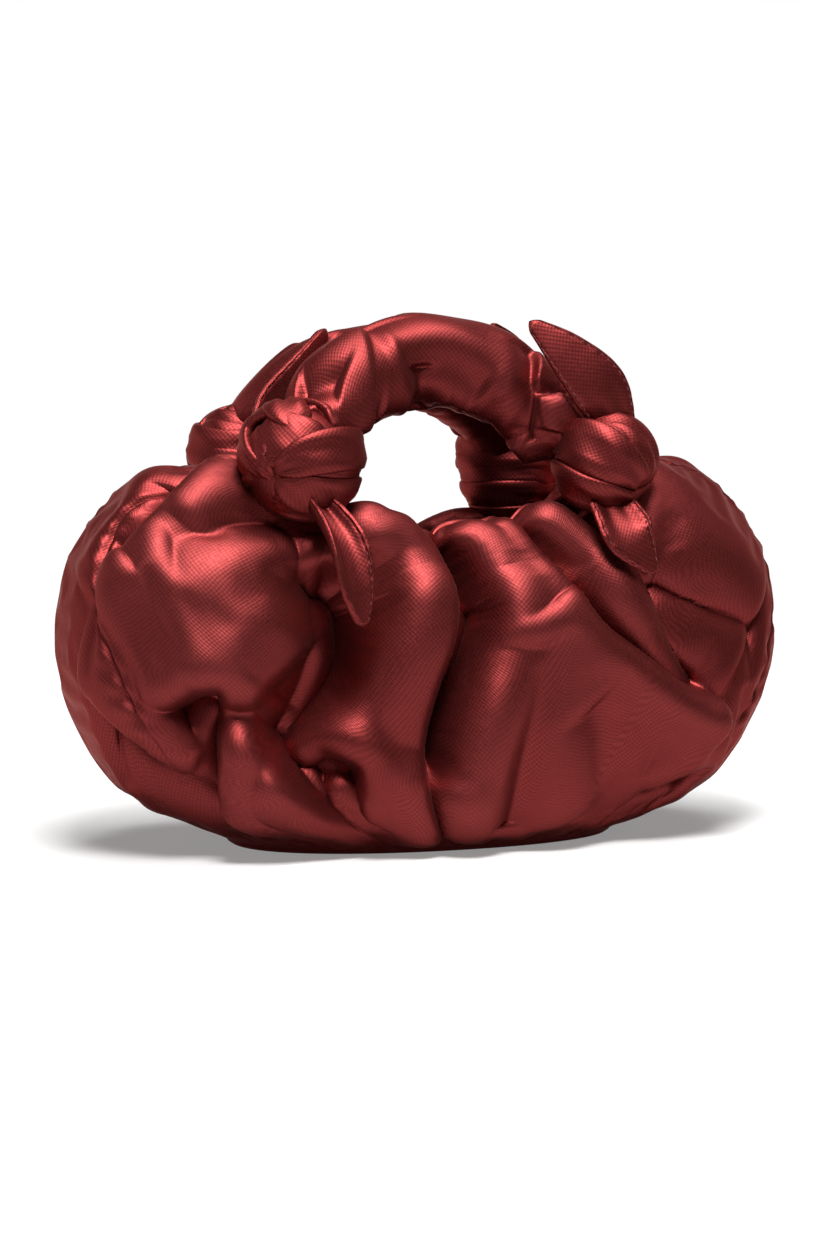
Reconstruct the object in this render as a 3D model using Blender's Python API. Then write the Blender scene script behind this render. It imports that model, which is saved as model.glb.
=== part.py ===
"""A satin handbag: a gathered pouch with two puffed handles, each knotted to the pouch at both ends.

The pouch is sewn from a front, a back, two end gussets and a flat base, with a lining bag inside.
Each handle is a stuffed tube whose ends are tied through the pouch's corners, and each knot has two tails.
Units are metres. +X is the bag's right as its front is looked at, +Y its back, +Z up.
The origin is the middle of the flat base, on the surface that the bag stands on.
"""

import math

import bpy
import numpy as np

MM = 0.001

# The pouch without its folds. Each row is one level, from the base's edge up to the mouth, in mm:
# half length at the ends, height at the ends, half depth at the front, height at the front, squareness.
POUCH_LEVELS = (
    (78, 2.6, 45, 1.2, 2.2),
    (118, 22, 61, 12, 2.3),
    (139, 53, 68, 40, 2.4),
    (145, 86, 69, 70, 2.4),
    (137, 118, 64, 97, 2.4),
    (117, 141, 56, 108, 2.6),
    (96, 148, 49, 117, 3.0),
    (77, 143, 43, 124, 3.8),
)
# The front of the mouth stands this much higher than the middle, and the back this much lower.
MOUTH_TILT = 4.5
# The right end stands out by this share more than the left.
RIGHT_FULLNESS = 0.034
WIDEST_LEVEL = 3 / 7
LEVEL_RISE = 160 * MM
CLOTH_THICK = 1.2 * MM
SEAM_GAP = 0.4 * MM
COLUMNS_PER_DEGREE = 104 / 360
POUCH_ROWS = 13

# Seams between the front and the end gussets, in degrees round from the middle of the front, by level.
SEAM_ANGLES = ((36,), (44,), (56,), (64,), (75,), (72,), (62,), (52,))

BASE_THICK = 2.4 * MM
BASE_SIDES = 48

# The lining hangs smooth inside the folds and joins the cloth near the mouth. Rows as above.
LINING_LEVELS = (
    (70, 3.4, 32, 3.4, 2.2),
    (101, 24, 45, 17, 2.3),
    (113, 53, 43, 42, 2.4),
    (118, 84, 42, 70, 2.4),
    (111, 112, 39, 95, 2.4),
    (95, 131, 34, 108, 2.6),
    (84, 138, 37, 115, 3.0),
    (72, 139, 39, 121, 3.8),
)
LINING_THICK = 0.8 * MM
LINING_COLUMNS = 42
LINING_ROWS = 7

# The folds, drawn on the pouch laid open. A point is (degrees round from the middle of the front, level).
# high and low are how far the cloth stands out on the left and sinks on the right of the line, as it is
# walked along, in mm; reach is how far each side's fold spreads, and edge how wide the step between is.
PLEATS = (
    (
        "middle pleat",
        (
            (-8.5, 0.088), (-10, 0.208), (-9.5, 0.263), (-9, 0.335), (-7.5, 0.405), (-5.5, 0.47),
            (-4.5, 0.525), (-5, 0.585), (-6.5, 0.708), (-9.5, 0.802), (-15.5, 0.89),
        ),
        (4, 15, 8, 11, 5),
    ),
    (
        "right belly pleat",
        (
            (45, 0.3), (36, 0.348), (28.5, 0.405), (22.5, 0.48), (17.5, 0.588), (15, 0.763),
            (12.5, 0.895),
        ),
        (5, 13, 12, 8, 4),
    ),
    ("right shoulder pleat", ((58.5, 0.417), (47, 0.468), (37.5, 0.535), (32, 0.61)), (-3, 15, -6, 13, 5)),
    (
        "left belly edge",
        (
            (-23, 0.417), (-25.5, 0.438), (-27, 0.468), (-27, 0.54), (-29, 0.647), (-34, 0.763),
        ),
        (4, 14, 9, 10, 5),
    ),
    (
        "left pocket",
        (
            (-52, 0.36), (-45.5, 0.393), (-42.5, 0.415), (-39.5, 0.415), (-38.5, 0.378), (-40, 0.325),
            (-42.5, 0.26), (-45, 0.195), (-46.5, 0.143),
        ),
        (5, 13, 13, 13, 4.5),
    ),
    (
        "middle pocket",
        (
            (-30, 0.238), (-27, 0.268), (-24.5, 0.283), (-21, 0.288), (-19, 0.265), (-19, 0.225),
            (-21, 0.175),
        ),
        (5, 11, 13, 11, 4.5),
    ),
    (
        "left front puff",
        (
            (-66, 0.92), (-66.5, 0.812), (-63.5, 0.728), (-60.5, 0.65), (-61, 0.598), (-65.5, 0.545),
            (-69.5, 0.515),
        ),
        (7, 20, 13, 10, 5),
    ),
    (
        "left hem tuck",
        (
            (-77.5, 0.34), (-71, 0.325), (-63, 0.285), (-56, 0.247), (-50.5, 0.21), (-46, 0.17),
        ),
        (4, 18, 13, 16, 5),
    ),
    ("right hem tuck", ((32, 0.182), (40, 0.205), (51, 0.2)), (4, 14, 9, 13, 5)),
)
# Round ridges, and valleys where the height is under zero: name, points, (height, half width) in mm.
RIDGES = (
    (
        "middle ridge",
        (
            (-21, 0.81), (-14, 0.772), (-10.5, 0.642), (-11, 0.535), (-13.5, 0.46), (-16.5, 0.388),
            (-20, 0.325), (-24.5, 0.268), (-32, 0.195),
        ),
        (11, 15),
    ),
    (
        "middle valley",
        (
            (-5.5, 0.92), (-1, 0.78), (1, 0.583), (1.5, 0.495), (-0.5, 0.403), (-4, 0.315),
            (-6.5, 0.205),
        ),
        (-17, 11),
    ),
    (
        "right middle ridge",
        (
            (4, 0.917), (8, 0.785), (8, 0.575), (6.5, 0.49), (4, 0.4), (1.5, 0.33), (-0.5, 0.258),
            (-2, 0.205), (-4.5, 0.122),
        ),
        (9, 12),
    ),
    ("right soft valley", ((11, 0.605), (12, 0.485), (15, 0.372), (19.5, 0.258), (29, 0.122)), (-5, 10)),
    ("right belly", ((34, 0.22), (27, 0.33), (21, 0.45), (16, 0.58), (14, 0.70)), (6, 20)),
    (
        "right ridge",
        (
            (21.5, 0.902), (24.5, 0.755), (24, 0.6), (26, 0.503), (29, 0.445), (34, 0.393),
            (41.5, 0.328),
        ),
        (11, 9),
    ),
    ("right valley", ((28.5, 0.725), (28.5, 0.583), (31, 0.508), (35.5, 0.432), (41.5, 0.36)), (-10, 10)),
    ("right shoulder valley", ((33.5, 0.67), (37, 0.575), (44, 0.515)), (-7, 12)),
    ("right shoulder ridge", ((48.5, 0.895), (47, 0.685), (50.5, 0.537), (56, 0.45)), (8, 18)),
    ("left belly", ((-66, 0.58), (-55, 0.56), (-45, 0.53), (-37, 0.47), (-33, 0.40)), (7, 26)),
    (
        "left deep valley",
        (
            (-31.5, 0.755), (-26, 0.59), (-24, 0.487), (-23.5, 0.432), (-26, 0.36), (-30, 0.3),
            (-39, 0.19),
        ),
        (-22, 12),
    ),
    ("left low ridge", ((-34.5, 0.39), (-37.5, 0.3), (-41, 0.208), (-44, 0.14)), (6, 11)),
    ("left puff crease", ((-35.5, 0.77), (-42.5, 0.715), (-48, 0.65), (-54, 0.588)), (-7, 7)),
    ("left puff", ((-43, 0.823), (-49.5, 0.785), (-53.5, 0.723), (-55.5, 0.655)), (6, 13)),
    (
        "left end ridge",
        (
            (-73, 0.828), (-68, 0.713), (-65.5, 0.638), (-64.5, 0.588), (-69, 0.557), (-73.5, 0.535),
        ),
        (9, 11),
    ),
)
FOLD_FADE = 0.14
# The narrowest step that the columns and rows of the panels can show.
FINEST_EDGE = 9
HEM_CALM = 0.06
MOUTH_CALM = 0.75
# The folds sink no deeper than this.
DEEPEST_FOLD = 25
# The folds are evened out over this turn in degrees and this share of the way up.
EVEN_TURN, EVEN_RISE = 2.4, 0.028

# Knots: middle and half sizes, in mm.
KNOTS = {
    "front_left": ((-66, -46, 150), (22, 19.5, 22.5)),
    "front_right": ((60, -46, 148), (18, 17, 19)),
    "back_left": ((-58, 46, 148), (18, 17, 20)),
    "back_right": ((59, 46, 143), (19, 18, 25)),
}
KNOT_WRAPS = 2
KNOT_WRAP_DEPTH = 0.11
KNOT_WRAP_TILT = 0.45
KNOT_CLEARANCE = 1.03
# The knots that each sewn piece is caught in.
CAUGHT_IN = {
    "front_panel": ("front_left", "front_right"),
    "back_panel": ("back_left", "back_right"),
    "left_gusset": ("front_left", "back_left"),
    "right_gusset": ("front_right", "back_right"),
    "lining": ("front_left", "front_right", "back_left", "back_right"),
}

# The handles' middle lines from the left knot to the right one: right, back, up, radius, in mm.
HANDLE_ROUTES = {
    "front": (
        (-65, -44, 150, 11),
        (-57, -40, 163, 15),
        (-45, -33, 177, 17.5),
        (-24, -25, 186, 18.5),
        (0, -22, 187.5, 18.5),
        (19, -23.5, 183, 18),
        (34, -29, 173, 16.5),
        (48, -38, 161, 13),
        (62, -44, 149, 11),
    ),
    "back": (
        (-57, 44, 150, 11),
        (-50, 41, 162, 14),
        (-39, 33, 175, 16),
        (-20, 25, 183, 17),
        (4, 22, 186, 17.5),
        (24, 23, 181, 17.5),
        (39, 30, 171, 16),
        (51, 38, 159, 13),
        (60, 44, 149, 11),
    ),
}
HANDLE_SIDES = 14
HANDLE_STEPS = 18
HANDLE_PUCKERS = 5
HANDLE_PUCKER_DEPTH = 0.05

# Tails: middle line (right, back, up, half width) in mm from the knot outwards, and the way that the
# flat side faces.
TAILS = {
    "front_left_upper": (
        ((-81, -40, 158, 7), (-70, -24, 170, 8.5), (-53, -11, 184, 7), (-40, -5, 200.5, 2.2)),
        (0.3, -1, 0),
    ),
    "front_left_lower": (
        ((-65, -58, 136, 7.5), (-60, -72, 121, 10), (-56.5, -77, 106, 8), (-52.5, -77, 91, 2.2)),
        (0.2, -1, 0),
    ),
    "front_right_upper": (
        ((65, -50, 159, 7.5), (54, -56, 176.5, 11.5), (40.5, -53, 191, 8.5), (27, -47, 203.5, 2.2)),
        (-0.1, -1, 0),
    ),
    "front_right_lower": (
        ((55.5, -57, 134, 10), (58.5, -67, 123.5, 11.5), (63.5, -70, 115.5, 7.5), (69.5, -70, 107, 2.2)),
        (0.1, -1, 0),
    ),
    "back_left_upper": (
        ((-53, 56, 157, 7), (-41, 60, 168, 8), (-29, 58, 179, 7), (-14, 53, 188, 2.5)),
        (0, 1, 0),
    ),
    "back_left_lower": (
        ((-60, 57, 135, 8), (-57, 71, 119, 10), (-53, 77, 104, 8), (-50, 78, 88, 2.5)),
        (0.1, 1, 0),
    ),
    "back_right_upper": (
        ((67, 52, 160, 8), (70, 56, 178, 10), (61, 52, 191, 7), (50, 46, 201, 2.5)),
        (0, 1, 0),
    ),
    "back_right_lower": (
        ((62, 57, 135, 8), (66, 71, 121, 11), (70, 78, 108, 8), (74, 80, 94, 2.5)),
        (0.1, 1, 0),
    ),
}
TAIL_HALF_THICK = 1.6 * MM
TAIL_SIDES = 8
TAIL_STEPS = 7

SATIN_RED = (0.30, 0.022, 0.026, 1)
LINING_RED = (0.16, 0.012, 0.016, 1)


def smooth_rows(rows, at):
    """Reads a table of rows at 0..1 down its length, with a Catmull-Rom curve through the rows."""
    rows = np.asarray(rows, float)
    at = np.clip(np.asarray(at, float), 0, 1) * (len(rows) - 1)
    i = np.minimum(at.astype(int), len(rows) - 2)
    t = (at - i)[..., None]
    padded = np.concatenate([2 * rows[:1] - rows[1:2], rows, 2 * rows[-1:] - rows[-2:-1]])
    p0, p1, p2, p3 = padded[i], padded[i + 1], padded[i + 2], padded[i + 3]
    return 0.5 * (
        2 * p1 + (p2 - p0) * t + (2 * p0 - 5 * p1 + 4 * p2 - p3) * t**2 + (3 * p1 - p0 - 3 * p2 + p3) * t**3
    )


def ease(t):
    """0 below 0, 1 above 1, and smooth between."""
    t = np.clip(t, 0, 1)
    return t * t * (3 - 2 * t)


def unit(vectors):
    """The same vectors at length one."""
    return vectors / np.linalg.norm(vectors, axis=-1, keepdims=True)


def stacked_ovals(table, angle, level):
    """Rounded oblongs stacked from the table's first row to its last, as points of angle and level.

    The heights of the end outline and the front outline are mixed by how far round a point is.
    """
    half_length, end_height, half_depth, front_height, square = np.moveaxis(smooth_rows(table, level), -1, 0)
    s, c = np.sin(angle), np.cos(angle)
    k = (np.abs(s) ** square + np.abs(c) ** square) ** (-1 / square)
    right, back = s * k, -c * k
    half_length = half_length * (1 + RIGHT_FULLNESS * ease(right))
    height = front_height + (end_height - front_height) * right**2 - MOUTH_TILT * back * ease((level - 0.7) / 0.3)
    return np.stack([half_length * right, half_depth * back, height], axis=-1) * MM


def pouch_base(angle, level):
    """The pouch without folds."""
    return stacked_ovals(POUCH_LEVELS, angle, level)


def surface_normals(surface, angle, level, step=0.002):
    """Outward normals of a surface of angle and level, from its slopes both ways."""
    low, high = np.clip(level - step, 0, 1), np.clip(level + step, 0, 1)
    round_way = surface(angle + step, level) - surface(angle - step, level)
    up_way = surface(angle, high) - surface(angle, low)
    return unit(np.cross(round_way, up_way))


def girth_table():
    """Distance round the pouch at its widest level, from the middle of the front, against angle."""
    angle = np.radians(np.linspace(-180, 180, 721))
    ring = pouch_base(angle, np.full_like(angle, WIDEST_LEVEL))
    along = np.concatenate([[0], np.cumsum(np.linalg.norm(np.diff(ring, axis=0), axis=1))])
    return angle, along - np.interp(0, angle, along)


GIRTH_ANGLES, GIRTH_ALONG = girth_table()


def laid_open(angle, level):
    """Where a point of the pouch lies when its cloth is laid open: distance round, and up."""
    return np.stack([np.interp(angle, GIRTH_ANGLES, GIRTH_ALONG), level * LEVEL_RISE], axis=-1)


def beside_line(points, line):
    """Signed distance from each point to a curve through the line, positive on its left, and the share along it."""
    fine = smooth_rows(line, np.linspace(0, 1, 6 * (len(line) - 1) + 1))
    path = laid_open(np.radians(fine[:, 0]), fine[:, 1])
    start, step = path[:-1], np.diff(path, axis=0)
    from_start = points[..., None, :] - start
    share = np.clip((from_start * step).sum(-1) / (step**2).sum(-1), 0, 1)
    squared = ((from_start - share[..., None] * step) ** 2).sum(-1)
    nearest = squared.argmin(-1)[..., None]
    distance = np.sqrt(np.take_along_axis(squared, nearest, -1)[..., 0])
    crossed = step[:, 0] * from_start[..., 1] - step[:, 1] * from_start[..., 0]
    side = np.sign(np.take_along_axis(crossed, nearest, -1)[..., 0])
    along = (nearest[..., 0] + np.take_along_axis(share, nearest, -1)[..., 0]) / len(step)
    return distance * side, along


def half_folds(points):
    """How far the folds of one face lift the cloth: a step with a bank each side, and round ridges."""
    lift = np.zeros(points.shape[:-1])
    for _, line, (high, high_reach, low, low_reach, edge) in PLEATS:
        away, along = beside_line(points, line)
        over = 0.5 + 0.5 * np.tanh(1.5 * away / (max(edge, FINEST_EDGE) * MM))
        up = high * np.exp(-((away / (high_reach * MM)) ** 2)) * over
        down = low * np.exp(-((away / (low_reach * MM)) ** 2)) * (1 - over)
        lift += (up - down) * ease(np.minimum(along, 1 - along) / FOLD_FADE) * MM
    for _, line, (height, half_width) in RIDGES:
        away, along = beside_line(points, line)
        bank = np.exp(-((away / (half_width * MM)) ** 2))
        lift += height * bank * ease(np.minimum(along, 1 - along) / FOLD_FADE) * MM
    return lift


def all_folds(angle, level):
    """The folds of the front, and the same gathers again on the back, turned half round."""
    ahead = np.mod(angle + math.pi, math.tau) - math.pi
    behind = np.mod(angle, math.tau) - math.pi
    lift = half_folds(laid_open(ahead, level)) + half_folds(laid_open(behind, level))
    return np.where(lift < 0, DEEPEST_FOLD * MM * np.tanh(lift / (DEEPEST_FOLD * MM)), lift)


def fold_lift(angle, level):
    """The folds, evened out over a few millimetres each way and calmed towards the hem and the mouth."""
    around = ((0, 0, 2), (EVEN_TURN, 0, 1), (-EVEN_TURN, 0, 1), (0, EVEN_RISE, 1), (0, -EVEN_RISE, 1))
    lift = sum(
        share * all_folds(angle + math.radians(turn), np.clip(level + rise, 0, 1)) for turn, rise, share in around
    )
    calm = ease(level / HEM_CALM) * (1 - MOUTH_CALM * ease((level - 0.82) / 0.18))
    return lift / sum(share for _, _, share in around) * calm


def pouch_faces(angle, level):
    """The outer and inner faces of the pouch's cloth with its folds, lifted square from the unfolded pouch."""
    base, normal = pouch_base(angle, level), surface_normals(pouch_base, angle, level)
    lift = fold_lift(angle, level)
    outside = base + normal * lift[..., None]
    return outside, outside - normal * CLOTH_THICK, lift


def lining_outside(angle, level):
    """The lining's face towards the cloth."""
    return stacked_ovals(LINING_LEVELS, angle, level)


def add_solid(name, points, faces, colour, roughness=0.45, metallic=0.3):
    """One named object from points and faces, with its own material."""
    mesh = bpy.data.meshes.new(name)
    mesh.from_pydata(np.asarray(points, float).tolist(), [], faces)
    mesh.shade_smooth()
    mesh.set_sharp_from_angle(angle=math.radians(50))
    material = bpy.data.materials.new(name)
    material.use_nodes = True
    shader = material.node_tree.nodes["Principled BSDF"]
    shader.inputs["Base Color"].default_value = colour
    shader.inputs["Roughness"].default_value = roughness
    shader.inputs["Metallic"].default_value = metallic
    mesh.materials.append(material)
    obj = bpy.data.objects.new(name, mesh)
    bpy.context.scene.collection.objects.link(obj)
    return obj


def split_quads(quads, lift):
    """Two triangles for each quad, split between the two opposite corners that are nearest in lift."""
    corner = lift[quads]
    other = np.abs(corner[:, 1] - corner[:, 3]) < np.abs(corner[:, 0] - corner[:, 2])
    quads = np.where(other[:, None], np.roll(quads, -1, axis=1), quads)
    return np.concatenate([quads[:, (0, 1, 2)], quads[:, (0, 2, 3)]])


def walled(outside, inside, lift):
    """Points and faces of a wall between two grids of columns and rows, closed along its four edges."""
    columns, rows = outside.shape[:2]
    index = np.arange(columns * rows).reshape(columns, rows)
    quads = np.stack([index[:-1, :-1], index[1:, :-1], index[1:, 1:], index[:-1, 1:]], -1).reshape(-1, 4)
    lift = np.tile(lift.reshape(-1), 2)
    skin = split_quads(quads, lift)
    rim = np.concatenate([index[:, 0], index[-1, 1:], index[-2::-1, -1], index[0, -2:0:-1]])
    rim_in = rim + columns * rows
    sides = np.stack([rim, rim_in, np.roll(rim_in, -1), np.roll(rim, -1)], -1)
    faces = np.concatenate([skin, skin[:, ::-1] + columns * rows, split_quads(sides, lift)])
    return np.concatenate([outside.reshape(-1, 3), inside.reshape(-1, 3)]), faces.tolist()


def seam_angle(level):
    """Angle of the front right seam at a level, in radians."""
    return np.radians(smooth_rows(SEAM_ANGLES, level)[..., 0])


def make_panel(name, left, right, columns):
    """One piece of the pouch's cloth, between two seams given as functions of level."""
    level = np.linspace(0, 1, POUCH_ROWS + 1)
    gap = SEAM_GAP / 2 / (90 * MM)
    share = np.linspace(0, 1, columns + 1)[:, None]
    start, end = left(level) + gap, right(level) - gap
    angle = start + (end - start) * share
    levels = np.broadcast_to(level, angle.shape)
    return add_solid(name, *walled(*pouch_faces(angle, levels)), SATIN_RED)


def make_pouch():
    """The front, the back and the two end gussets, seam to seam round the pouch."""
    half, whole = math.pi, math.tau
    wide = 2 * 68
    panels = (
        ("front_panel", lambda v: -seam_angle(v), seam_angle, wide),
        ("right_gusset", seam_angle, lambda v: half - seam_angle(v), 180 - wide),
        ("back_panel", lambda v: half - seam_angle(v), lambda v: half + seam_angle(v), wide),
        ("left_gusset", lambda v: half + seam_angle(v), lambda v: whole - seam_angle(v), 180 - wide),
    )
    return [
        make_panel(name, left, right, round(degrees * COLUMNS_PER_DEGREE)) for name, left, right, degrees in panels
    ]


def make_base():
    """The flat oval base, as a thin board covered in the same cloth, inside the side cloth's lower edge."""
    angle = np.linspace(0, math.tau, BASE_SIDES, endpoint=False)
    edge = pouch_base(angle, np.zeros_like(angle))
    inset = edge - unit(edge * (1, 1, 0)) * (CLOTH_THICK + SEAM_GAP)
    low, high = inset * (1, 1, 0), inset * (1, 1, 0) + (0, 0, BASE_THICK)
    points = np.concatenate([low, high])
    ring = np.arange(BASE_SIDES)
    onward = np.roll(ring, -1)
    sides = np.stack([ring, onward, onward + BASE_SIDES, ring + BASE_SIDES], -1).tolist()
    faces = [ring[::-1].tolist(), (ring + BASE_SIDES).tolist(), *sides]
    return add_solid("base_panel", points, faces, SATIN_RED)


def make_lining():
    """The lining bag: closed below, open at the mouth."""
    angle = np.linspace(0, math.tau, LINING_COLUMNS, endpoint=False)[:, None]
    level = np.linspace(0, 1, LINING_ROWS + 1)
    angles, levels = np.broadcast_arrays(angle, level)
    outside = lining_outside(angles, levels)
    inside = outside - surface_normals(lining_outside, angles, levels, 0.03) * LINING_THICK
    inside[:, 0, 2] = outside[:, 0, 2] + LINING_THICK
    rows = LINING_ROWS + 1
    index = np.arange(LINING_COLUMNS * rows).reshape(LINING_COLUMNS, rows)
    onward = np.roll(index, -1, axis=0)
    skin = np.stack([index[:, :-1], onward[:, :-1], onward[:, 1:], index[:, 1:]], -1).reshape(-1, 4)
    count = LINING_COLUMNS * rows
    mouth = np.stack([index[:, -1], onward[:, -1], onward[:, -1] + count, index[:, -1] + count], -1)
    floor = [index[::-1, 0].tolist(), (index[:, 0] + count).tolist()]
    faces = [*skin.tolist(), *(skin[:, ::-1] + count).tolist(), *mouth.tolist(), *floor]
    points = np.concatenate([outside.reshape(-1, 3), inside.reshape(-1, 3)])
    return add_solid("lining", points, faces, LINING_RED, 0.6, 0)


def tube(middle, across, facing, half_width, half_thick):
    """Points and faces of a closed tube with oval sections, capped at both ends."""
    steps, sides = half_width.shape
    turn = np.linspace(0, math.tau, sides, endpoint=False)
    ring = (
        middle[:, None]
        + across[:, None] * (np.cos(turn) * half_width)[..., None]
        + facing[:, None] * (np.sin(turn) * half_thick)[..., None]
    )
    index = np.arange(steps * sides).reshape(steps, sides)
    onward = np.roll(index, -1, axis=1)
    skin = np.stack([index[:-1], onward[:-1], onward[1:], index[1:]], -1).reshape(-1, 4)
    faces = [*skin.tolist(), index[0, ::-1].tolist(), index[-1].tolist()]
    return ring.reshape(-1, 3), faces


def frames_along(middle, facing):
    """For each point of a line, the direction across it and the squared-up facing direction."""
    along = unit(np.gradient(middle, axis=0))
    across = unit(np.cross(along, np.broadcast_to(facing, along.shape)))
    return across, np.cross(across, along)


def make_handle(name, line):
    """A stuffed tube that arches from knot to knot, with soft puckers round it."""
    share = np.linspace(0, 1, HANDLE_STEPS + 1)
    route = smooth_rows(line, share) * MM
    middle, radius = route[:, :3], route[:, 3:]
    across, facing = frames_along(middle, np.array((0, -1.0, 0)))
    turn = np.linspace(0, math.tau, HANDLE_SIDES, endpoint=False)
    pucker = 1 + HANDLE_PUCKER_DEPTH * np.sin(HANDLE_PUCKERS * math.tau * share[:, None] + 2 * turn)
    size = radius * pucker
    return add_solid(name, *tube(middle, across, facing, size, size), SATIN_RED)


def make_tail(name, line, facing):
    """One tail of a knot: a flat folded leaf of satin that tapers to a point."""
    route = smooth_rows(line, np.linspace(0, 1, TAIL_STEPS + 1)) * MM
    middle, half_width = route[:, :3], np.repeat(route[:, 3:], TAIL_SIDES, axis=1)
    across, out = frames_along(middle, np.array(facing, float))
    thick = np.minimum(TAIL_HALF_THICK, half_width * 0.6)
    return add_solid(name, *tube(middle, across, out, half_width, thick), SATIN_RED)


def knot_points(middle, half, size=1.0):
    """Rings of an egg shape with wraps lying round it, slightly tilted."""
    lean = np.linspace(-math.pi / 2, math.pi / 2, 11)[1:-1, None]
    turn = np.linspace(0, math.tau, 18, endpoint=False)
    tilt = KNOT_WRAP_TILT * np.sin(turn)
    reach = 1 + KNOT_WRAP_DEPTH * np.cos(2 * KNOT_WRAPS * (lean + tilt)) * np.cos(lean) ** 2
    shape = np.stack(
        [np.cos(lean) * np.cos(turn) * reach, np.cos(lean) * np.sin(turn) * reach, np.sin(lean) * reach], axis=-1
    )
    poles = np.array(((0, 0, -1.0), (0, 0, 1.0)))
    body = np.concatenate([shape.reshape(-1, 3), poles]) / (1 + KNOT_WRAP_DEPTH)
    return np.array(middle) * MM + body * np.array(half) * MM * size


def knot_faces(rings=9, sides=18):
    """Faces over the knot's rings and its two poles."""
    index = np.arange(rings * sides).reshape(rings, sides)
    onward = np.roll(index, -1, axis=1)
    skin = np.stack([index[:-1], onward[:-1], onward[1:], index[1:]], -1).reshape(-1, 4).tolist()
    low, high = rings * sides, rings * sides + 1
    below = [(low, b, a) for a, b in zip(index[0].tolist(), onward[0].tolist())]
    above = [(high, a, b) for a, b in zip(index[-1].tolist(), onward[-1].tolist())]
    return [*skin, *below, *above]


def make_knots():
    """Each knot, and a slightly larger hidden copy that cuts its place out of what runs into it."""
    cutters = {}
    for place, (middle, half) in KNOTS.items():
        add_solid(f"{place}_knot", knot_points(middle, half), knot_faces(), SATIN_RED)
        cutter = add_solid(f"{place}_clearance", knot_points(middle, half, KNOT_CLEARANCE), knot_faces(), SATIN_RED)
        cutter.hide_render = True
        cutter.display_type = "WIRE"
        cutters[place] = cutter
    return cutters


def cut_with(obj, cutter):
    """Cuts a hidden helper's shape out of an object."""
    cut = obj.modifiers.new(cutter.name, "BOOLEAN")
    cut.operation = "DIFFERENCE"
    cut.solver = "EXACT"
    cut.object = cutter


def main():
    """Clears the scene and models the bag."""
    for obj in list(bpy.data.objects):
        bpy.data.objects.remove(obj)
    cutters = make_knots()
    sewn = [*make_pouch(), make_lining()]
    make_base()
    for obj in sewn:
        for place in CAUGHT_IN[obj.name]:
            cut_with(obj, cutters[place])
    for side, line in HANDLE_ROUTES.items():
        handle = make_handle(f"{side}_handle", line)
        for end in ("left", "right"):
            cut_with(handle, cutters[f"{side}_{end}"])
    for name, (line, facing) in TAILS.items():
        tail = make_tail(f"{name}_tail", line, facing)
        cut_with(tail, cutters[name.rsplit("_", 1)[0]])


if __name__ == "__main__":
    main()
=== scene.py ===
"""Dresses a packed satin handbag as an add-on: gathered pouch, puffed handles, knots, tails, lining and base.

Units are metres, and the tables are in mm. +X is the bag's right as its front is looked at, +Y its back,
+Z up, and Z = 0 is the surface that the bag stands on.
"""

import math

import bmesh
import bpy
import numpy as np
from bpy.props import FloatProperty, FloatVectorProperty, IntProperty, PointerProperty
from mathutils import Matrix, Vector


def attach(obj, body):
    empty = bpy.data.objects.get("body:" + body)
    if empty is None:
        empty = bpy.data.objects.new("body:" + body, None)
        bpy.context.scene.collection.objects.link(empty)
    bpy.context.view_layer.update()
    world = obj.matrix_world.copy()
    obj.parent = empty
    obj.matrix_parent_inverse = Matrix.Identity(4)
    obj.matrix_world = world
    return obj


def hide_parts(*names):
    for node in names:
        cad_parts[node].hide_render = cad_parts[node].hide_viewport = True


bl_info = {
    "name": "Gathered Satin Handbag",
    "version": (1, 0, 0),
    "blender": (4, 5, 0),
    "location": "3D View > Sidebar > Handbag",
    "description": "Models a gathered satin handbag with two knotted handles around its packed frame",
    "category": "Object",
}

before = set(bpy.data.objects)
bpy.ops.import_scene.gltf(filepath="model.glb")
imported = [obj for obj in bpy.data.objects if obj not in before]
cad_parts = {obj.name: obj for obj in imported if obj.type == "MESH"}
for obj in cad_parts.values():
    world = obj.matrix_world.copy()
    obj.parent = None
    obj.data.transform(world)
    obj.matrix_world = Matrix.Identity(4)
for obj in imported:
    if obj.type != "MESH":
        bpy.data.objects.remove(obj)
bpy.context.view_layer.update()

MM = 0.001
BODY = "root"

# The pouch without its folds. Rows from the base's edge up to the mouth: half length at the ends, height at
# the ends, half depth at the front, height at the front, squareness of the outline.
POUCH_LEVELS = (
    (78, 2.6, 45, 1.2, 2.2),
    (118, 22, 61, 12, 2.3),
    (139, 53, 68, 40, 2.4),
    (145, 86, 69, 70, 2.4),
    (137, 118, 64, 97, 2.4),
    (117, 141, 56, 108, 2.6),
    (96, 148, 49, 117, 3.0),
    (77, 143, 43, 120.5, 3.8),
)
MOUTH_TILT = 4.5
BACK_RIM_DROP = 5
RIGHT_FULLNESS = 0.034
WIDEST_LEVEL = 3 / 7
LEVEL_RISE = 160 * MM
SEAM_ANGLES = ((36,), (44,), (56,), (64,), (75,), (72,), (62,), (52,))

# The lining's rows, with the same five numbers.
LINING_LEVELS = (
    (70, 3.4, 32, 3.4, 2.2),
    (101, 24, 45, 17, 2.3),
    (113, 53, 43, 42, 2.4),
    (118, 84, 42, 70, 2.4),
    (111, 112, 39, 95, 2.4),
    (95, 131, 34, 108, 2.6),
    (84, 138, 37, 115, 3.0),
    (72, 139, 39, 117.5, 3.8),
)

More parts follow.
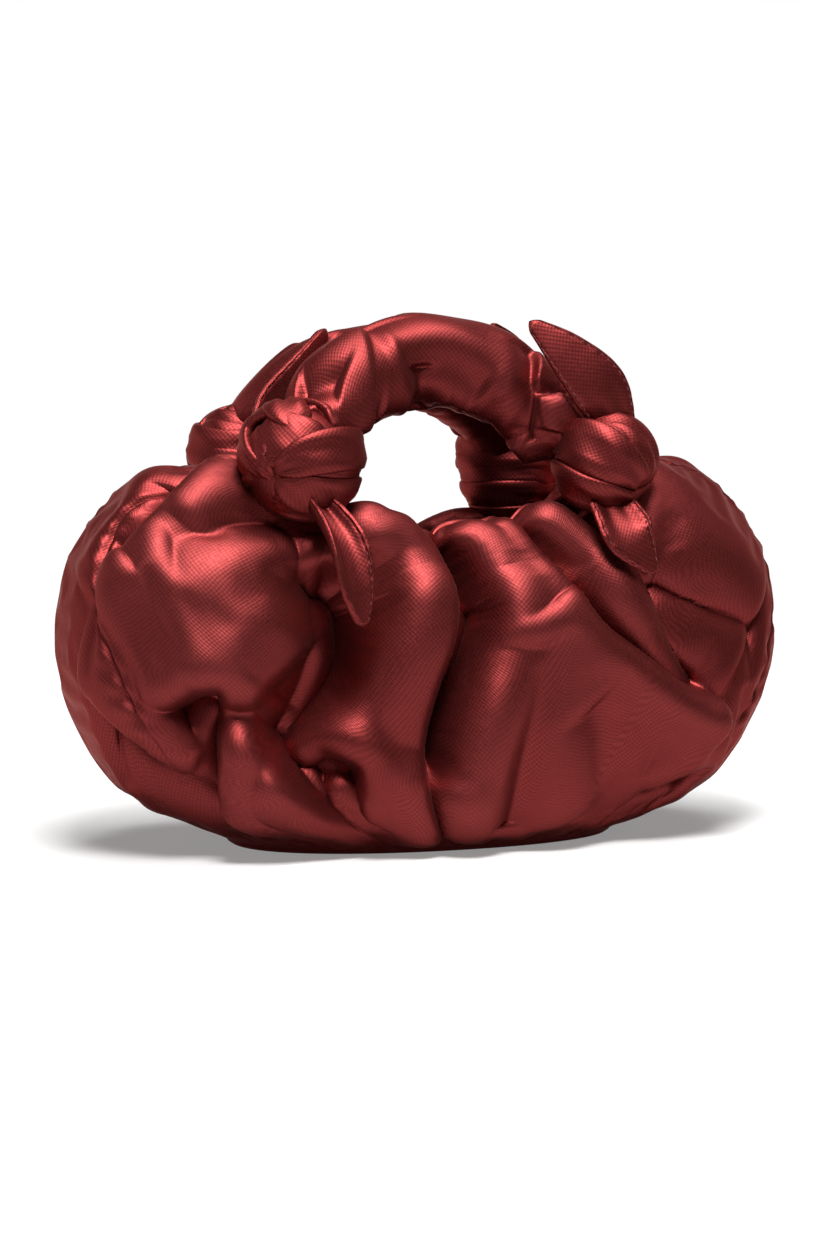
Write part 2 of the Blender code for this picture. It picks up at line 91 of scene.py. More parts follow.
# Folds on the pouch laid open. A point is (degrees round from the middle of the front, level). The numbers of
# a pleat are how far the cloth stands out on the left of the line as it is walked along, how far that bank
# reaches, how far the cloth sinks on the right, how far that reaches, and the width of the step between. The
# numbers of a ridge are its height, below 0 for a valley, and how far it reaches.
PLEATS = {
    "middle pleat": (((-7.5, 0.013), (-9.5, 0.143), (-10.5, 0.225), (-9.5, 0.325), (-7.5, 0.42),
     (-5.5, 0.497), (-5, 0.57), (-6.5, 0.715), (-9.5, 0.818), (-15.5, 0.9), (-21.5, 1.06)),
     (5, 14, 10, 11, 5)),
    "right belly pleat": (((47, 0.288), (33.5, 0.352), (24, 0.443), (16.5, 0.54), (13, 0.74), (11.5, 0.91),
     (10.2, 1.06)), (6, 12, 14, 8, 4)),
    "left belly edge": (((-34, 0.768), (-28.5, 0.638), (-26.5, 0.532), (-26, 0.465), (-27.5, 0.393),
     (-30.5, 0.33), (-35.5, 0.253), (-42, 0.175)), (6, 16, 2, 10, 7)),
    "left pocket": (((-55.5, 0.325), (-49.5, 0.362), (-45, 0.388), (-41, 0.393), (-39.5, 0.367),
     (-40.5, 0.315), (-42.5, 0.25), (-45, 0.193), (-47.5, 0.138)), (6, 12, 13, 13, 5)),
    "middle pocket": (((-30.5, 0.233), (-27, 0.263), (-24, 0.283), (-21, 0.283), (-19, 0.265), (-19, 0.22),
     (-21, 0.168)), (6, 10, 11, 11, 4)),
    "left front puff": (((-72.5, 1.06), (-66.5, 0.915), (-59, 0.75), (-60.5, 0.66), (-64, 0.59),
     (-71.5, 0.52)), (7, 18, 14, 10, 5)),
    "left hem tuck": (((-77.5, 0.34), (-71, 0.325), (-63, 0.285), (-56, 0.247), (-50.5, 0.21), (-46, 0.17)),
     (4, 18, 13, 16, 5)),
    "right hem tuck": (((32, 0.182), (40, 0.205), (51, 0.2)), (4, 14, 9, 13, 5)),
}
RIDGES = {
    "middle ridge": (((-29.5, 1.06), (-23.5, 0.87), (-15, 0.777), (-10.5, 0.642), (-11, 0.535), (-13.5, 0.46),
     (-17, 0.388), (-21.5, 0.323), (-27.5, 0.26), (-37, 0.188)), (9, 12)),
    "middle valley": (((-9.5, 1.06), (-6, 0.932), (-1.5, 0.768), (1, 0.578), (-0.5, 0.478), (-3.5, 0.393),
     (-6, 0.312), (-8, 0.205)), (-22, 12)),
    "right middle ridge": (((-9, 1.06), (-3, 0.932), (3.5, 0.812), (6, 0.608), (6, 0.508), (3, 0.398),
     (-0.5, 0.273), (-3.5, 0.048)), (10, 13)),
    "right soft valley": (((7, 0.512), (7.5, 0.417), (7, 0.31), (6.5, 0.198), (6.5, 0.09)), (-4, 12)),
    "right belly": (((11, 0.557), (14, 0.448), (13.5, 0.302), (18, 0.118)), (4, 16)),
    "right ridge": (((19, 1.06), (21, 0.92), (23.5, 0.745), (24.5, 0.568), (26.5, 0.492), (30.5, 0.42),
     (38, 0.345), (45, 0.3)), (11, 9)),
    "right valley": (((24.4, 1.06), (26.5, 0.855), (28, 0.705), (29.5, 0.555), (30.5, 0.485), (35, 0.408),
     (44, 0.328)), (-13, 9)),
    "right shoulder valley": (((31.5, 0.603), (39, 0.515), (58.5, 0.413)), (-8, 10)),
    "right shoulder ridge": (((49.7, 1.06), (48.5, 0.895), (47, 0.685), (50.5, 0.537), (56, 0.45)), (6, 18)),
    "left belly": (((-66, 0.58), (-55, 0.56), (-45, 0.53), (-37, 0.47), (-33, 0.4)), (7, 26)),
    "left deep valley": (((-30, 0.753), (-23.2, 0.595), (-21.4, 0.508), (-21.6, 0.448), (-24.2, 0.38),
     (-29.5, 0.3), (-36.5, 0.212)), (-38, 22)),
    "left low ridge": (((-33.5, 0.39), (-36.5, 0.302), (-40.5, 0.208), (-44.5, 0.138)), (3, 14)),
    "left puff crease": (((-36.5, 0.77), (-43.5, 0.723), (-49.5, 0.667), (-56.5, 0.59)), (-3.5, 10)),
    "left fan one": (((-34.5, 0.713), (-39.5, 0.66), (-44, 0.58), (-52, 0.482)), (3, 13)),
    "left fan two": (((-30.5, 0.623), (-34, 0.547), (-39, 0.453), (-44, 0.36)), (3, 13)),
    "left hollow": (((-72, 0.782), (-65.5, 0.688), (-62.5, 0.623), (-65, 0.557)), (-9, 8)),
    "right hem valley": (((16.5, 0.38), (19.5, 0.295), (24, 0.198), (35.5, 0.077)), (-3, 10)),
    "left puff": (((-41, 1.06), (-47, 0.895), (-51.5, 0.815), (-54.5, 0.74), (-56.5, 0.665)), (3, 12)),
    "left end ridge": (((-95, 0.797), (-76.5, 0.695), (-74, 0.628), (-75.5, 0.565), (-79, 0.5)), (3, 9)),
}
FOLD_FADE = 0.1
HEM_CALM = 0.06
MOUTH_CALM = 0.6
DEEPEST_FOLD = 40 * MM
OVERHANG = 3 * MM

# The knots: middle and half sizes.
KNOTS = {
    "front_left": ((-66, -46, 150), (22, 19.5, 22.5)),
    "front_right": ((60, -46, 148), (18, 17, 19)),
    "back_left": ((-58, 46, 148), (18, 17, 20)),
    "back_right": ((59, 46, 143), (19, 18, 25)),
}
# The bands that a knot is wound from. A row is degrees round from the front, degrees up, half width and lift
# over the egg shape; then how thick the band is and how many pleats run along it.
KNOT_BANDS = {
    "front_left": (
        (((-56, -12, 1, -2), (-45, -17, 3, 1), (-29, -25, 6.5, 2), (-8, -30, 7.5, 2.6), (20, -31, 7, 2.6),
         (68, -30, 6.5, 2.6), (112, -28, 6, 2.4), (160, -26, 6, 2), (205, -24, 5, 1.6), (250, -22, 3, 0),
         (275, -20, 1.5, -2)), 2.6, 0),
        (((-54, -9, 1, -2), (-45, -11, 2, 1.6), (-18, -10, 2.8, 3), (20, -9, 3, 3.4), (68, -8, 2.8, 3.2),
         (120, -8, 2.6, 2.4), (180, -8, 2.4, 1.4), (230, -8, 2, -1)), 2.0, 0),
        (((-54, -6, 1, -2), (-44, -6, 2.2, 2), (-15, -2, 3, 3.6), (22, -1, 3.2, 4), (69, 2, 3, 3.8),
         (118, 3, 2.6, 3), (180, 4, 2.6, 1.6), (225, 4, 2, -1)), 2.0, 0),
        (((-56, -8, 1, -2), (-45, -4, 2.4, 2), (-27, 3, 5, 4), (-6, 11, 6.4, 5.4), (24, 15, 6.6, 5.8),
         (63, 14, 6, 5), (108, 12, 5.5, 3.6), (160, 12, 5, 2.4), (205, 12, 4, 0.6), (235, 12, 2, -2)),
         2.6, 2),
        (((-96, 38, 2, -2), (-74, 36, 7.5, 2.6), (-48, 32, 8, 4), (-20, 30, 7, 4.2), (6, 30, 5, 3),
         (24, 32, 3, -1)), 2.2, 0),
        (((10, 78, 2, -2), (-40, 76, 5, 1), (-88, 66, 5.5, 3), (-112, 48, 5.5, 4), (-110, 28, 5, 3.6),
         (-84, 10, 4, 3), (-60, -6, 3, 1.6), (-52, -18, 1.5, -2)), 3.4, 1),
        (((14, 34, 2, -2), (-12, 44, 5, 2), (-34, 58, 6.5, 4), (-80, 74, 6.5, 4), (-150, 72, 6, 2.6),
         (-205, 56, 5, 1), (-235, 40, 3, -2)), 3.4, 1),
        (((-98, 24, 3, -1), (-80, 22, 6, 2.4), (-58, 20, 7, 3), (-34, 20, 6, 2.8), (-12, 22, 3, -1)), 2.4, 1),
        (((-66, 36, 1, -2), (-62, 26, 3.4, 2.4), (-66, 10, 4, 3.4), (-56, -4, 3, 2.6), (-44, -14, 1.5, -1)),
         2.4, 1),
        (((-96, 40, 2, -2), (-84, 20, 4, 2), (-72, 2, 4, 1.6), (-60, -16, 3, 0), (-54, -30, 2, -2)), 2.4, 1),
        (((78, 36, 3, -1), (112, 40, 7, 2), (160, 36, 8, 3), (210, 30, 7, 2.6), (255, 22, 5, 1),
         (285, 14, 2, -2)), 3, 2),
        (((40, 34, 2, -2), (64, 46, 7, 2), (110, 62, 8, 2.4), (170, 62, 7, 1.6), (215, 50, 4, -2)), 3, 1),
        (((140, -2, 2, -2), (170, 0, 6, 1.6), (215, -2, 7, 2.4), (262, -4, 6, 2), (292, -6, 2, -2)), 2.8, 2),
        (((-70, -34, 2, -2), (-52, -44, 6, 0.6), (0, -54, 8, 1), (90, -56, 8, 1), (180, -54, 8, 1),
         (250, -44, 6, 0.6), (280, -36, 2, -2)), 2.4, 2),
    ),
    "front_right": (
        (((-168, 8, 2, -2), (-140, 14, 3.6, 1), (-108, 21, 5, 3.4), (-76, 26, 6.4, 5.4), (-40, 19, 7.6, 6.4),
         (-9, 2, 6.6, 5.8), (21, -17, 4, 3.2), (42, -30, 2, -1)), 3.6, 1),
        (((-160, -10, 2, -2), (-130, -8, 3.4, 1), (-106, -9, 4.6, 3), (-80, -17, 6, 5), (-48, -31, 6.4, 5.4),
         (-10, -41, 5.4, 4), (22, -42, 3.2, 2), (46, -42, 1.5, -2)), 3.4, 1),
        (((-62, 40, 2, -2), (-30, 42, 4.5, 2), (4, 30, 5, 3.4), (24, 6, 5, 3.4), (38, -18, 4, 2.4),
         (48, -38, 2, -2)), 2.8, 1),
        (((-118, 44, 2, -2), (-86, 48, 4.5, 2), (-30, 54, 5.5, 3.4), (22, 42, 5.5, 3.6), (46, 22, 5, 3.2),
         (58, -2, 5, 2.8), (66, -24, 4, 1), (70, -40, 2, -2)), 3, 1),
        (((-150, 30, 3, -1), (-120, 32, 6, 2), (-84, 40, 6, 2), (-50, 46, 4, -1)), 2.6, 1),
        (((52, 30, 3, -1), (90, 26, 7, 2), (140, 20, 8, 3), (190, 14, 7, 2), (230, 8, 4, -1)), 3, 2),
        (((44, 0, 3, -1), (90, -6, 7, 2), (140, -10, 8, 2.4), (190, -16, 7, 2), (225, -20, 4, -1)), 3, 2),
        (((40, 56, 3, -1), (100, 60, 7, 2), (170, 56, 7, 2), (220, 44, 4, -1)), 3, 1),
        (((-70, -50, 3, -1), (0, -58, 7, 0.6), (70, -46, 7, 1), (140, -40, 8, 1.4), (200, -44, 7, 1),
         (260, -50, 3, -1)), 2.6, 2),
    ),
}
# The level wraps of a back knot, all at the same degrees round: degrees up, half widths, lifts and thickness.
RING_TURNS = (-200, -140, -90, -40, 20, 90, 160)
RING_WRAPS = (
    ((24, 20, 17, 15, 17, 22, 24), (6, 6.5, 6.5, 6, 6, 6, 6), (2, 3.6, 4.4, 3.6, 3, 2.4, 2), 3),
    ((-4, -6, -6, -4, -2, -2, -4), (5, 5, 5, 5.5, 5.5, 5, 5), (1.6, 2.4, 2.6, 2.4, 2.4, 2, 1.6), 2.6),
    ((-26, -24, -28, -30, -28, -26, -26), (5, 5, 5, 5, 5, 5, 5), (1.6, 2.4, 2.6, 2, 2, 2, 1.6), 2.4),
    ((-48, -48, -52, -54, -52, -50, -48), (5, 5, 5, 5, 5, 5, 5), (1, 2, 2.4, 2, 2, 1.6, 1), 2.4),
    ((-66, -66, -70, -70, -68, -66, -66), (5, 5, 5, 5, 5, 5, 5), (1, 1.6, 2, 2, 1.6, 1.2, 1), 2.2),
)
RING_BANDS = (
    *((tuple(zip(RING_TURNS, up, wide, lift)), thick, 1) for up, wide, lift, thick in RING_WRAPS),
    (
        ((-190, 44, 4, 0), (-140, 44, 6, 2), (-80, 46, 6, 2.6), (-10, 46, 6, 2), (60, 46, 6, 1.6),
         (150, 44, 5, 0)),
        3, 1,
    ),
)

# The handles' middle lines from the left knot to the right one: right, back, up, radius.
HANDLE_ROUTES = {
    "front": (
        (-65, -44, 150, 11), (-57, -40, 163, 15), (-45, -33, 177, 17.5), (-24, -25, 186, 18.5),
        (0, -22, 187.5, 18.5), (19, -23.5, 183, 18), (34, -29, 173, 16.5), (48, -38, 161, 13),
        (62, -44, 149, 11),
    ),
    "back": (
        (-57, 44, 150, 11), (-50, 41, 162, 14), (-39, 33, 175, 16), (-20, 25, 183, 17), (4, 22, 186, 17.5),
        (24, 23, 181, 17.5), (39, 30, 171, 16), (51, 38, 159, 13), (60, 44, 149, 11),
    ),
}
# Folds on a handle, with the same numbers. A point is its share along and its degrees round: 0 under the
# arch, 90 in front, 180 on top.
HANDLE_PLEATS = {
    "left fold edge": (((0.335, 172), (0.33, 156), (0.307, 132), (0.275, 100), (0.242, 66), (0.205, 36),
     (0.16, 16)), (-1.6, 14, -2.2, 10, 2.2)),
    "end crease": (((0.69, 165), (0.708, 146), (0.735, 112), (0.768, 92), (0.8, 58), (0.825, 10)),
     (1.5, 9, 3.6, 9, 2.6)),
    "end hollow": (((0.835, 128), (0.812, 112), (0.795, 98), (0.775, 86)), (2.2, 8, 3.4, 6, 2.2)),
    "under seam": (((0.46, 30), (0.55, 26), (0.64, 20), (0.72, 10), (0.79, -8)), (1.8, 10, 2.6, 8, 2.0)),
}
HANDLE_RIDGES = {
    "dimple": (((0.165, 172), (0.185, 146), (0.217, 112)), (-5.5, 7)),
    "small dimple": (((0.1, 136), (0.088, 118), (0.08, 100)), (-4, 4.5)),
    "arc ridge": (((0.323, 124), (0.388, 120), (0.458, 120), (0.532, 112), (0.628, 92), (0.728, 68)),
     (2.6, 8)),
    "arc valley": (((0.343, 96), (0.413, 94), (0.475, 90), (0.535, 78), (0.623, 56)), (-2.4, 7)),
    "under valley": (((0.413, 92), (0.413, 64), (0.43, 26), (0.44, -6)), (-3.6, 5)),
    "bottom bulge": (((0.27, 40), (0.33, 30), (0.38, 26)), (1.5, 9)),
    "corner": (((0.8, 20), (0.825, 4), (0.835, -14)), (6.5, 6)),
    "low ridge": (((0.84, 112), (0.836, 82), (0.858, 60)), (2.6, 5)),
    "top hollow": (((0.3, 200), (0.36, 206), (0.42, 214)), (-2.2, 8)),
    "back valley": (((0.56, 250), (0.6, 226), (0.66, 206)), (-3, 7)),
    "back valley 2": (((0.24, 262), (0.3, 236), (0.33, 214)), (-3, 8)),
    "back ridge": (((0.4, 262), (0.46, 240), (0.52, 222)), (2, 9)),
}

# The tails: middle line (right, back, up, half width) from the knot outwards, the way that the flat side
# faces, and how far in degrees the strip is curled about its length at the knot and at the tip.
TAILS = {
    "front_left_upper": (
        ((-81, -40, 158, 7), (-70, -24, 170, 8.5), (-53, -11, 184, 7), (-40, -5, 200.5, 2.2)),
        (0.3, -1, 0),
        (30, 6),
    ),
    "front_left_lower": (
        ((-65, -58, 136, 8), (-60, -71, 122, 11), (-56.5, -77, 106, 9), (-52.5, -77, 91, 2.2)),
        (0.35, -1, 0),
        (200, 60),
    ),
    "front_right_upper": (
        ((65, -50, 159, 7.5), (54, -56, 176.5, 11.5), (40.5, -53, 191, 8.5), (27, -47, 203.5, 2.2)),
        (-0.1, -1, 0),
        (-45, 12),
    ),
    "front_right_lower": (
        ((55.5, -57, 134, 10), (58.5, -67, 123.5, 11.5), (63.5, -70, 115.5, 7.5), (69.5, -70, 107, 2.2)),
        (0.1, -1, 0),
        (80, 10),
    ),
    "back_left_upper": (
        ((-53, 56, 157, 7), (-41, 60, 168, 8), (-29, 58, 179, 7), (-14, 53, 188, 2.5)),
        (0, 1, 0),
        (-45, 12),
    ),
    "back_left_lower": (
        ((-60, 57, 135, 8), (-57, 71, 119, 10), (-53, 77, 104, 8), (-50, 78, 88, 2.5)),
        (0.1, 1, 0),
        (160, 30),
    ),
    "back_right_upper": (
        ((67, 52, 160, 8), (70, 56, 178, 10), (61, 52, 191, 7), (50, 46, 201, 2.5)),
        (0, 1, 0),
        (30, 8),
    ),
    "back_right_lower": (
        ((62, 57, 135, 8), (66, 71, 121, 11), (70, 78, 108, 8), (74, 80, 94, 2.5)),
        (0.1, 1, 0),
        (90, 15),
    ),
}

# The base's outline from its middle underneath, round its edge and back to its middle on top: share of the
# way out, and height.
BASE_PROFILE = (
    (0.0, 0.5), (0.2, 0.5), (0.4, 0.5), (0.6, 0.48), (0.8, 0.45), (0.92, 0.4), (0.945, 0.7), (0.955, 0.7),
    (0.96, 0.5), (0.965, 0.35), (0.972, 0.5), (0.976, 0.9), (0.975, 1.4), (0.97, 1.9), (0.965, 2.2),
    (0.9, 2.3), (0.6, 2.35), (0.3, 2.35), (0.0, 2.35),
)

# How many points each surface has across and along.
POUCH_COLUMNS = 460
POUCH_ROWS = 138
FRONT_COLUMNS = 236
GUSSET_COLUMNS = 104
PANEL_ROWS = 168
SEAM_EDGE = (0, 0.45, 0.95, 1.6, 2.5, 3.8)
HANDLE_STEPS = 220
HANDLE_SIDES = 120
CORE_COLUMNS = 48
CORE_ROWS = 24
BAND_STEPS = 64
BAND_SIDES = 36
TAIL_STEPS = 72
TAIL_SIDES = 72
BASE_SIDES = 192
LINING_COLUMNS = 260
LINING_ROWS = 90

# How folds, seams and edges are shaped. A reach is the distance at which a bell has fallen to one over e.
SLOPE_STEP = 0.002
STEP_SHARPNESS = 2.4
SHARP_VALLEY = -8
VALLEY_WIDTH = 0.72
VALLEY_POWER = 1.15
SETTLE_SCALE = 10
FARTHEST_SETTLED = 9 * MM
SEAM_REACH = 1.3 * MM
PUCKER_PITCH = 6.5 * MM
PUCKER_DEPTH = 0.35 * MM
PUCKER_REACH = 3 * MM
RIM_RADIUS = 1.3 * MM
HANDLE_RADIUS = 17 * MM
BAND_ROUND = 0.45
BAND_INSET = 3.5
CORE_INSET = 1.3
TAIL_SQUARE = 0.8
TAIL_GROOVE = 0.84
STITCH_PITCH = 2.9 * MM
STITCH_LENGTH = 1.9 * MM
STITCH_RADIUS = 0.28 * MM
WELD = 1e-6
STITCH_WELD = 1e-7

# The stage: the picture's rows and the mm of the bag that one covers, the heights that the camera and the
# lamps look at, and the sensor's width in mm. A lamp is its name, its place and size in metres, and the
# property that holds its power.
PICTURE_ROWS = 1252
ROW_SIZE = 0.394
CAMERA_AIM = 83.5 * MM
LAMP_AIM = 0.09
SENSOR_WIDTH = 36
LAMPS = (
    ("key lamp", (-0.25, -0.75, 1.15), 0.45, "key_power"),
    ("top lamp", (0.1, -0.15, 1.3), 0.9, "top_power"),
    ("fill lamp", (1.05, -0.35, 0.55), 0.4, "fill_power"),
    ("left lamp", (-1.1, -0.3, 0.5), 0.5, "fill_power"),
)


class HandbagCloth(bpy.types.PropertyGroup):
    """Colours and sizes of the satin, the lining and the sewing."""

    satin_red: FloatVectorProperty(
        name="Satin red", description="Colour of the satin", default=(0.178, 0.0245, 0.0235), subtype="COLOR",
        min=0, max=1,
    )
    satin_sheen: FloatVectorProperty(
        name="Satin sheen", description="Colour that the satin glows at its edges",
        default=(0.95, 0.62, 0.56), subtype="COLOR", min=0, max=1,
    )
    lining_red: FloatVectorProperty(
        name="Lining red", description="Colour of the lining", default=(0.12, 0.012, 0.014), subtype="COLOR",
        min=0, max=1,
    )
    thread_red: FloatVectorProperty(
        name="Thread red", description="Colour of the sewing thread", default=(0.14, 0.010, 0.012),
        subtype="COLOR", min=0, max=1,
    )
    weave_pitch: FloatProperty(
        name="Weave pitch", description="Width of one float of the satin's weave", default=1.0 * MM,
        min=0.3 * MM, max=4 * MM, unit="LENGTH",
    )
    seam_depth: FloatProperty(
        name="Seam depth", description="How far a seam sinks into the cloth", default=1.5 * MM,
        min=0, max=4 * MM, unit="LENGTH",
    )
    slack: FloatProperty(
        name="Slack", description="Share by which the cloth grows while it settles into its folds",
        default=0.012, min=0, max=0.2, subtype="FACTOR",
    )
    hold: FloatProperty(
        name="Hold", description="How firmly the gathers are held while the cloth settles", default=0.2,
        min=0, max=1, subtype="FACTOR",
    )
    settle_steps: IntProperty(
        name="Settling steps", description="Steps of the cloth simulation", default=13, min=1, max=40
    )


class HandbagStage(bpy.types.PropertyGroup):
    """Viewing angle and lamps."""

    azimuth: FloatProperty(
        name="Azimuth", description="How far round from the bag's front the camera stands",
        default=math.radians(-22), unit="ROTATION",
    )
    elevation: FloatProperty(
        name="Elevation", description="How far the camera looks down", default=math.radians(5),
        unit="ROTATION",
    )
    distance: FloatProperty(
        name="Distance", description="From the camera to the middle of the bag", default=1.5, min=0.5, max=6,
        unit="LENGTH",
    )
    frame_height: FloatProperty(
        name="Frame height", description="Height of the picture at the middle of the bag",
        default=PICTURE_ROWS * ROW_SIZE * MM, min=0.1, max=2, unit="LENGTH",
    )
    key_power: FloatProperty(
        name="Key lamp", description="Power of the main lamp", default=24, min=0, max=100, unit="POWER"
    )
    top_power: FloatProperty(
        name="Top lamp", description="Power of the lamp above", default=21, min=0, max=100, unit="POWER"
    )
    fill_power: FloatProperty(
        name="Fill lamp", description="Power of the two side lamps", default=0.5, min=0, max=100, unit="POWER"
    )
    room_light: FloatProperty(
        name="Room light", description="Strength of the even light of the room", default=0.006, min=0, max=1
    )


def smooth_rows(rows, at):
    """Catmull-Rom curve through a table's rows, read at 0..1 down its length."""
    rows = np.asarray(rows, float)
    at = np.clip(np.asarray(at, float), 0, 1) * (len(rows) - 1)
    i = np.minimum(at.astype(int), len(rows) - 2)
    t = (at - i)[..., None]
    padded = np.concatenate([2 * rows[:1] - rows[1:2], rows, 2 * rows[-1:] - rows[-2:-1]])
    p0, p1, p2, p3 = padded[i], padded[i + 1], padded[i + 2], padded[i + 3]
    return 0.5 * (
        2 * p1 + (p2 - p0) * t + (2 * p0 - 5 * p1 + 4 * p2 - p3) * t**2 + (3 * p1 - p0 - 3 * p2 + p3) * t**3
    )


def ease(t):
    """0 below 0, 1 above 1, and 3t^2 - 2t^3 between."""
    t = np.clip(t, 0, 1)
    return t * t * (3 - 2 * t)


def bank(distance, reach):
    """Bell curve: one over e to the square of distance over reach."""
    return np.exp(-((distance / reach) ** 2))


def ring(count):
    """Angles evenly round a whole turn from 0, without the last one."""
    return np.linspace(0, math.tau, count, endpoint=False)


def signed_power(wave, power):
    """The sign of a wave times its size to a power."""
    return np.sign(wave) * np.abs(wave) ** power


def path_length(points):
    """Sum of the distances from each point to the next."""
    return np.linalg.norm(np.diff(points, axis=0), axis=1).sum()


def unit(vectors):
    """The same vectors at length one."""
    return vectors / np.maximum(np.linalg.norm(vectors, axis=-1, keepdims=True), 1e-12)


def stacked_ovals(table, angle, level):
    """Rounded oblongs |x/a|^n + |y/b|^n = 1, with a, b, n and the heights read from the table at each level.

    The height goes from the front's to the end's with the square of the share of the half length. Towards the
    mouth it tilts down to the back, by tilt * back + drop * ease of back.
    """
    half_length, end_height, half_depth, front_height, square = np.moveaxis(smooth_rows(table, level), -1, 0)
    s, c = np.sin(angle), np.cos(angle)
    k = (np.abs(s) ** square + np.abs(c) ** square) ** (-1 / square)
    right, back = s * k, -c * k
    half_length = half_length * (1 + RIGHT_FULLNESS * ease(right))
    height = front_height + (end_height - front_height) * right**2
    height = height - (MOUTH_TILT * back + BACK_RIM_DROP * ease(back)) * ease((level - 0.7) / 0.3)
    return np.stack([half_length * right, half_depth * back, height], axis=-1) * MM


def pouch_base(angle, level):
    """The pouch without folds."""
    return stacked_ovals(POUCH_LEVELS, angle, level)


def surface_slopes(surface, angle, level):
    """Slopes of a surface of angle and level, each per unit of its parameter, and the outward normal."""
    low, high = np.clip(level - SLOPE_STEP, 0, 1), np.clip(level + SLOPE_STEP, 0, 1)
    round_way = (surface(angle + SLOPE_STEP, level) - surface(angle - SLOPE_STEP, level)) / (2 * SLOPE_STEP)
    up_way = (surface(angle, high) - surface(angle, low)) / (high - low)[..., None]
    return round_way, up_way, unit(np.cross(round_way, up_way))


def girth_table():
    """Distance round the pouch at its widest level, from the middle of the front, against angle."""
    angle = np.radians(np.linspace(-180, 180, 721))
    ring = pouch_base(angle, np.full_like(angle, WIDEST_LEVEL))
    along = np.concatenate([[0], np.cumsum(np.linalg.norm(np.diff(ring, axis=0), axis=1))])
    return angle, along - np.interp(0, angle, along)


GIRTH_ANGLES, GIRTH_ALONG = girth_table()


def laid_open(angle, level):
    """Where a point of the pouch lies when its cloth is laid open: distance round, and up."""
    return np.stack([np.interp(angle, GIRTH_ANGLES, GIRTH_ALONG), level * LEVEL_RISE], axis=-1)


def pouch_line(rows):
    """A fold line of the pouch, from degrees and levels to the laid open cloth."""
    return laid_open(np.radians(rows[:, 0]), rows[:, 1])


def beside_line(points, path, reach):
    """Signed distance from each point to a path, positive on its left, and the share of the path there.

    Points farther than the reach from the path's box are left at three times the reach.
    """
    away = np.full(points.shape[:-1], 3 * reach)
    along = np.zeros(points.shape[:-1])
    near = ((points > path.min(0) - 2.6 * reach) & (points < path.max(0) + 2.6 * reach)).all(-1)
    start, step = path[:-1], np.diff(path, axis=0)
    from_start = points[near][:, None, :] - start
    share = np.clip((from_start * step).sum(-1) / (step**2).sum(-1), 0, 1)
    squared = ((from_start - share[..., None] * step) ** 2).sum(-1)
    nearest = squared.argmin(-1)
    pick = (np.arange(len(nearest)), nearest)
    crossed = step[nearest, 0] * from_start[pick][:, 1] - step[nearest, 1] * from_start[pick][:, 0]
    away[near] = np.sqrt(squared[pick]) * np.sign(crossed)
    along[near] = (nearest + share[pick]) / len(step)
    return away, along


def folded(points, pleats, ridges, place):
    """How far folds lift laid open cloth.

    A pleat is high * bell on its left and - low * bell on its right, with a step of
    (1 + tanh(sharpness * away / width)) / 2 between. A ridge is height * bell. A valley as deep as
    SHARP_VALLEY is height * e to the power - (distance away / (valley width * half width))^valley power,
    which is sharp at its bottom. All fade out towards the line's ends.
    """
    lift = np.zeros(points.shape[:-1])
    for line, (high, high_reach, low, low_reach, edge) in pleats.values():
        path = place(smooth_rows(line, np.linspace(0, 1, 8 * (len(line) - 1) + 1)))
        away, along = beside_line(points, path, max(high_reach, low_reach) * MM)
        over = 0.5 + 0.5 * np.tanh(STEP_SHARPNESS * away / (edge * MM))
        step = high * bank(away, high_reach * MM) * over - low * bank(away, low_reach * MM) * (1 - over)
        lift += step * ease(np.minimum(along, 1 - along) / FOLD_FADE) * MM
    for line, (height, half_width) in ridges.values():
        path = place(smooth_rows(line, np.linspace(0, 1, 8 * (len(line) - 1) + 1)))
        away, along = beside_line(points, path, half_width * MM)
        if height > SHARP_VALLEY:
            bell = bank(away, half_width * MM)
        else:
            bell = np.exp(-((np.abs(away) / (VALLEY_WIDTH * half_width * MM)) ** VALLEY_POWER))
        lift += height * bell * ease(np.minimum(along, 1 - along) / FOLD_FADE) * MM
    return lift


def fold_lift(angle, level):
    """The folds of the front, the same again on the back, turned half round, and fine gathers at the mouth.

    A fold that sinks is limited to deepest * tanh(lift / deepest). All calm down at the hem and the mouth.
    """
    ahead = np.mod(angle + math.pi, math.tau) - math.pi
    behind = np.mod(angle, math.tau) - math.pi
    lift = sum(folded(laid_open(side, level), PLEATS, RIDGES, pouch_line) for side in (ahead, behind))
    lift = np.where(lift < 0, DEEPEST_FOLD * np.tanh(lift / DEEPEST_FOLD), lift)
    lift = lift * ease(level / HEM_CALM) * (1 - MOUTH_CALM * ease((level - 0.88) / 0.12))
    gathers = np.sin(17 * angle + 1.1) + 0.7 * np.sin(29 * angle + 0.4) + 0.4 * np.sin(41 * angle + 2)
    return lift + 0.5 * MM * gathers * ease((level - 0.8) / 0.2)


def softened(field, times):
    """A field joined round in its columns, with each point at (before + 2 * itself + after) / 4 both ways."""
    for _ in range(times):
        field = (np.roll(field, 1, 0) + 2 * field + np.roll(field, -1, 0)) / 4
        padded = np.concatenate([field[:, :1], field, field[:, -1:]], axis=1)
        field = (padded[:, :-2] + 2 * padded[:, 1:-1] + padded[:, 2:]) / 4
    return field


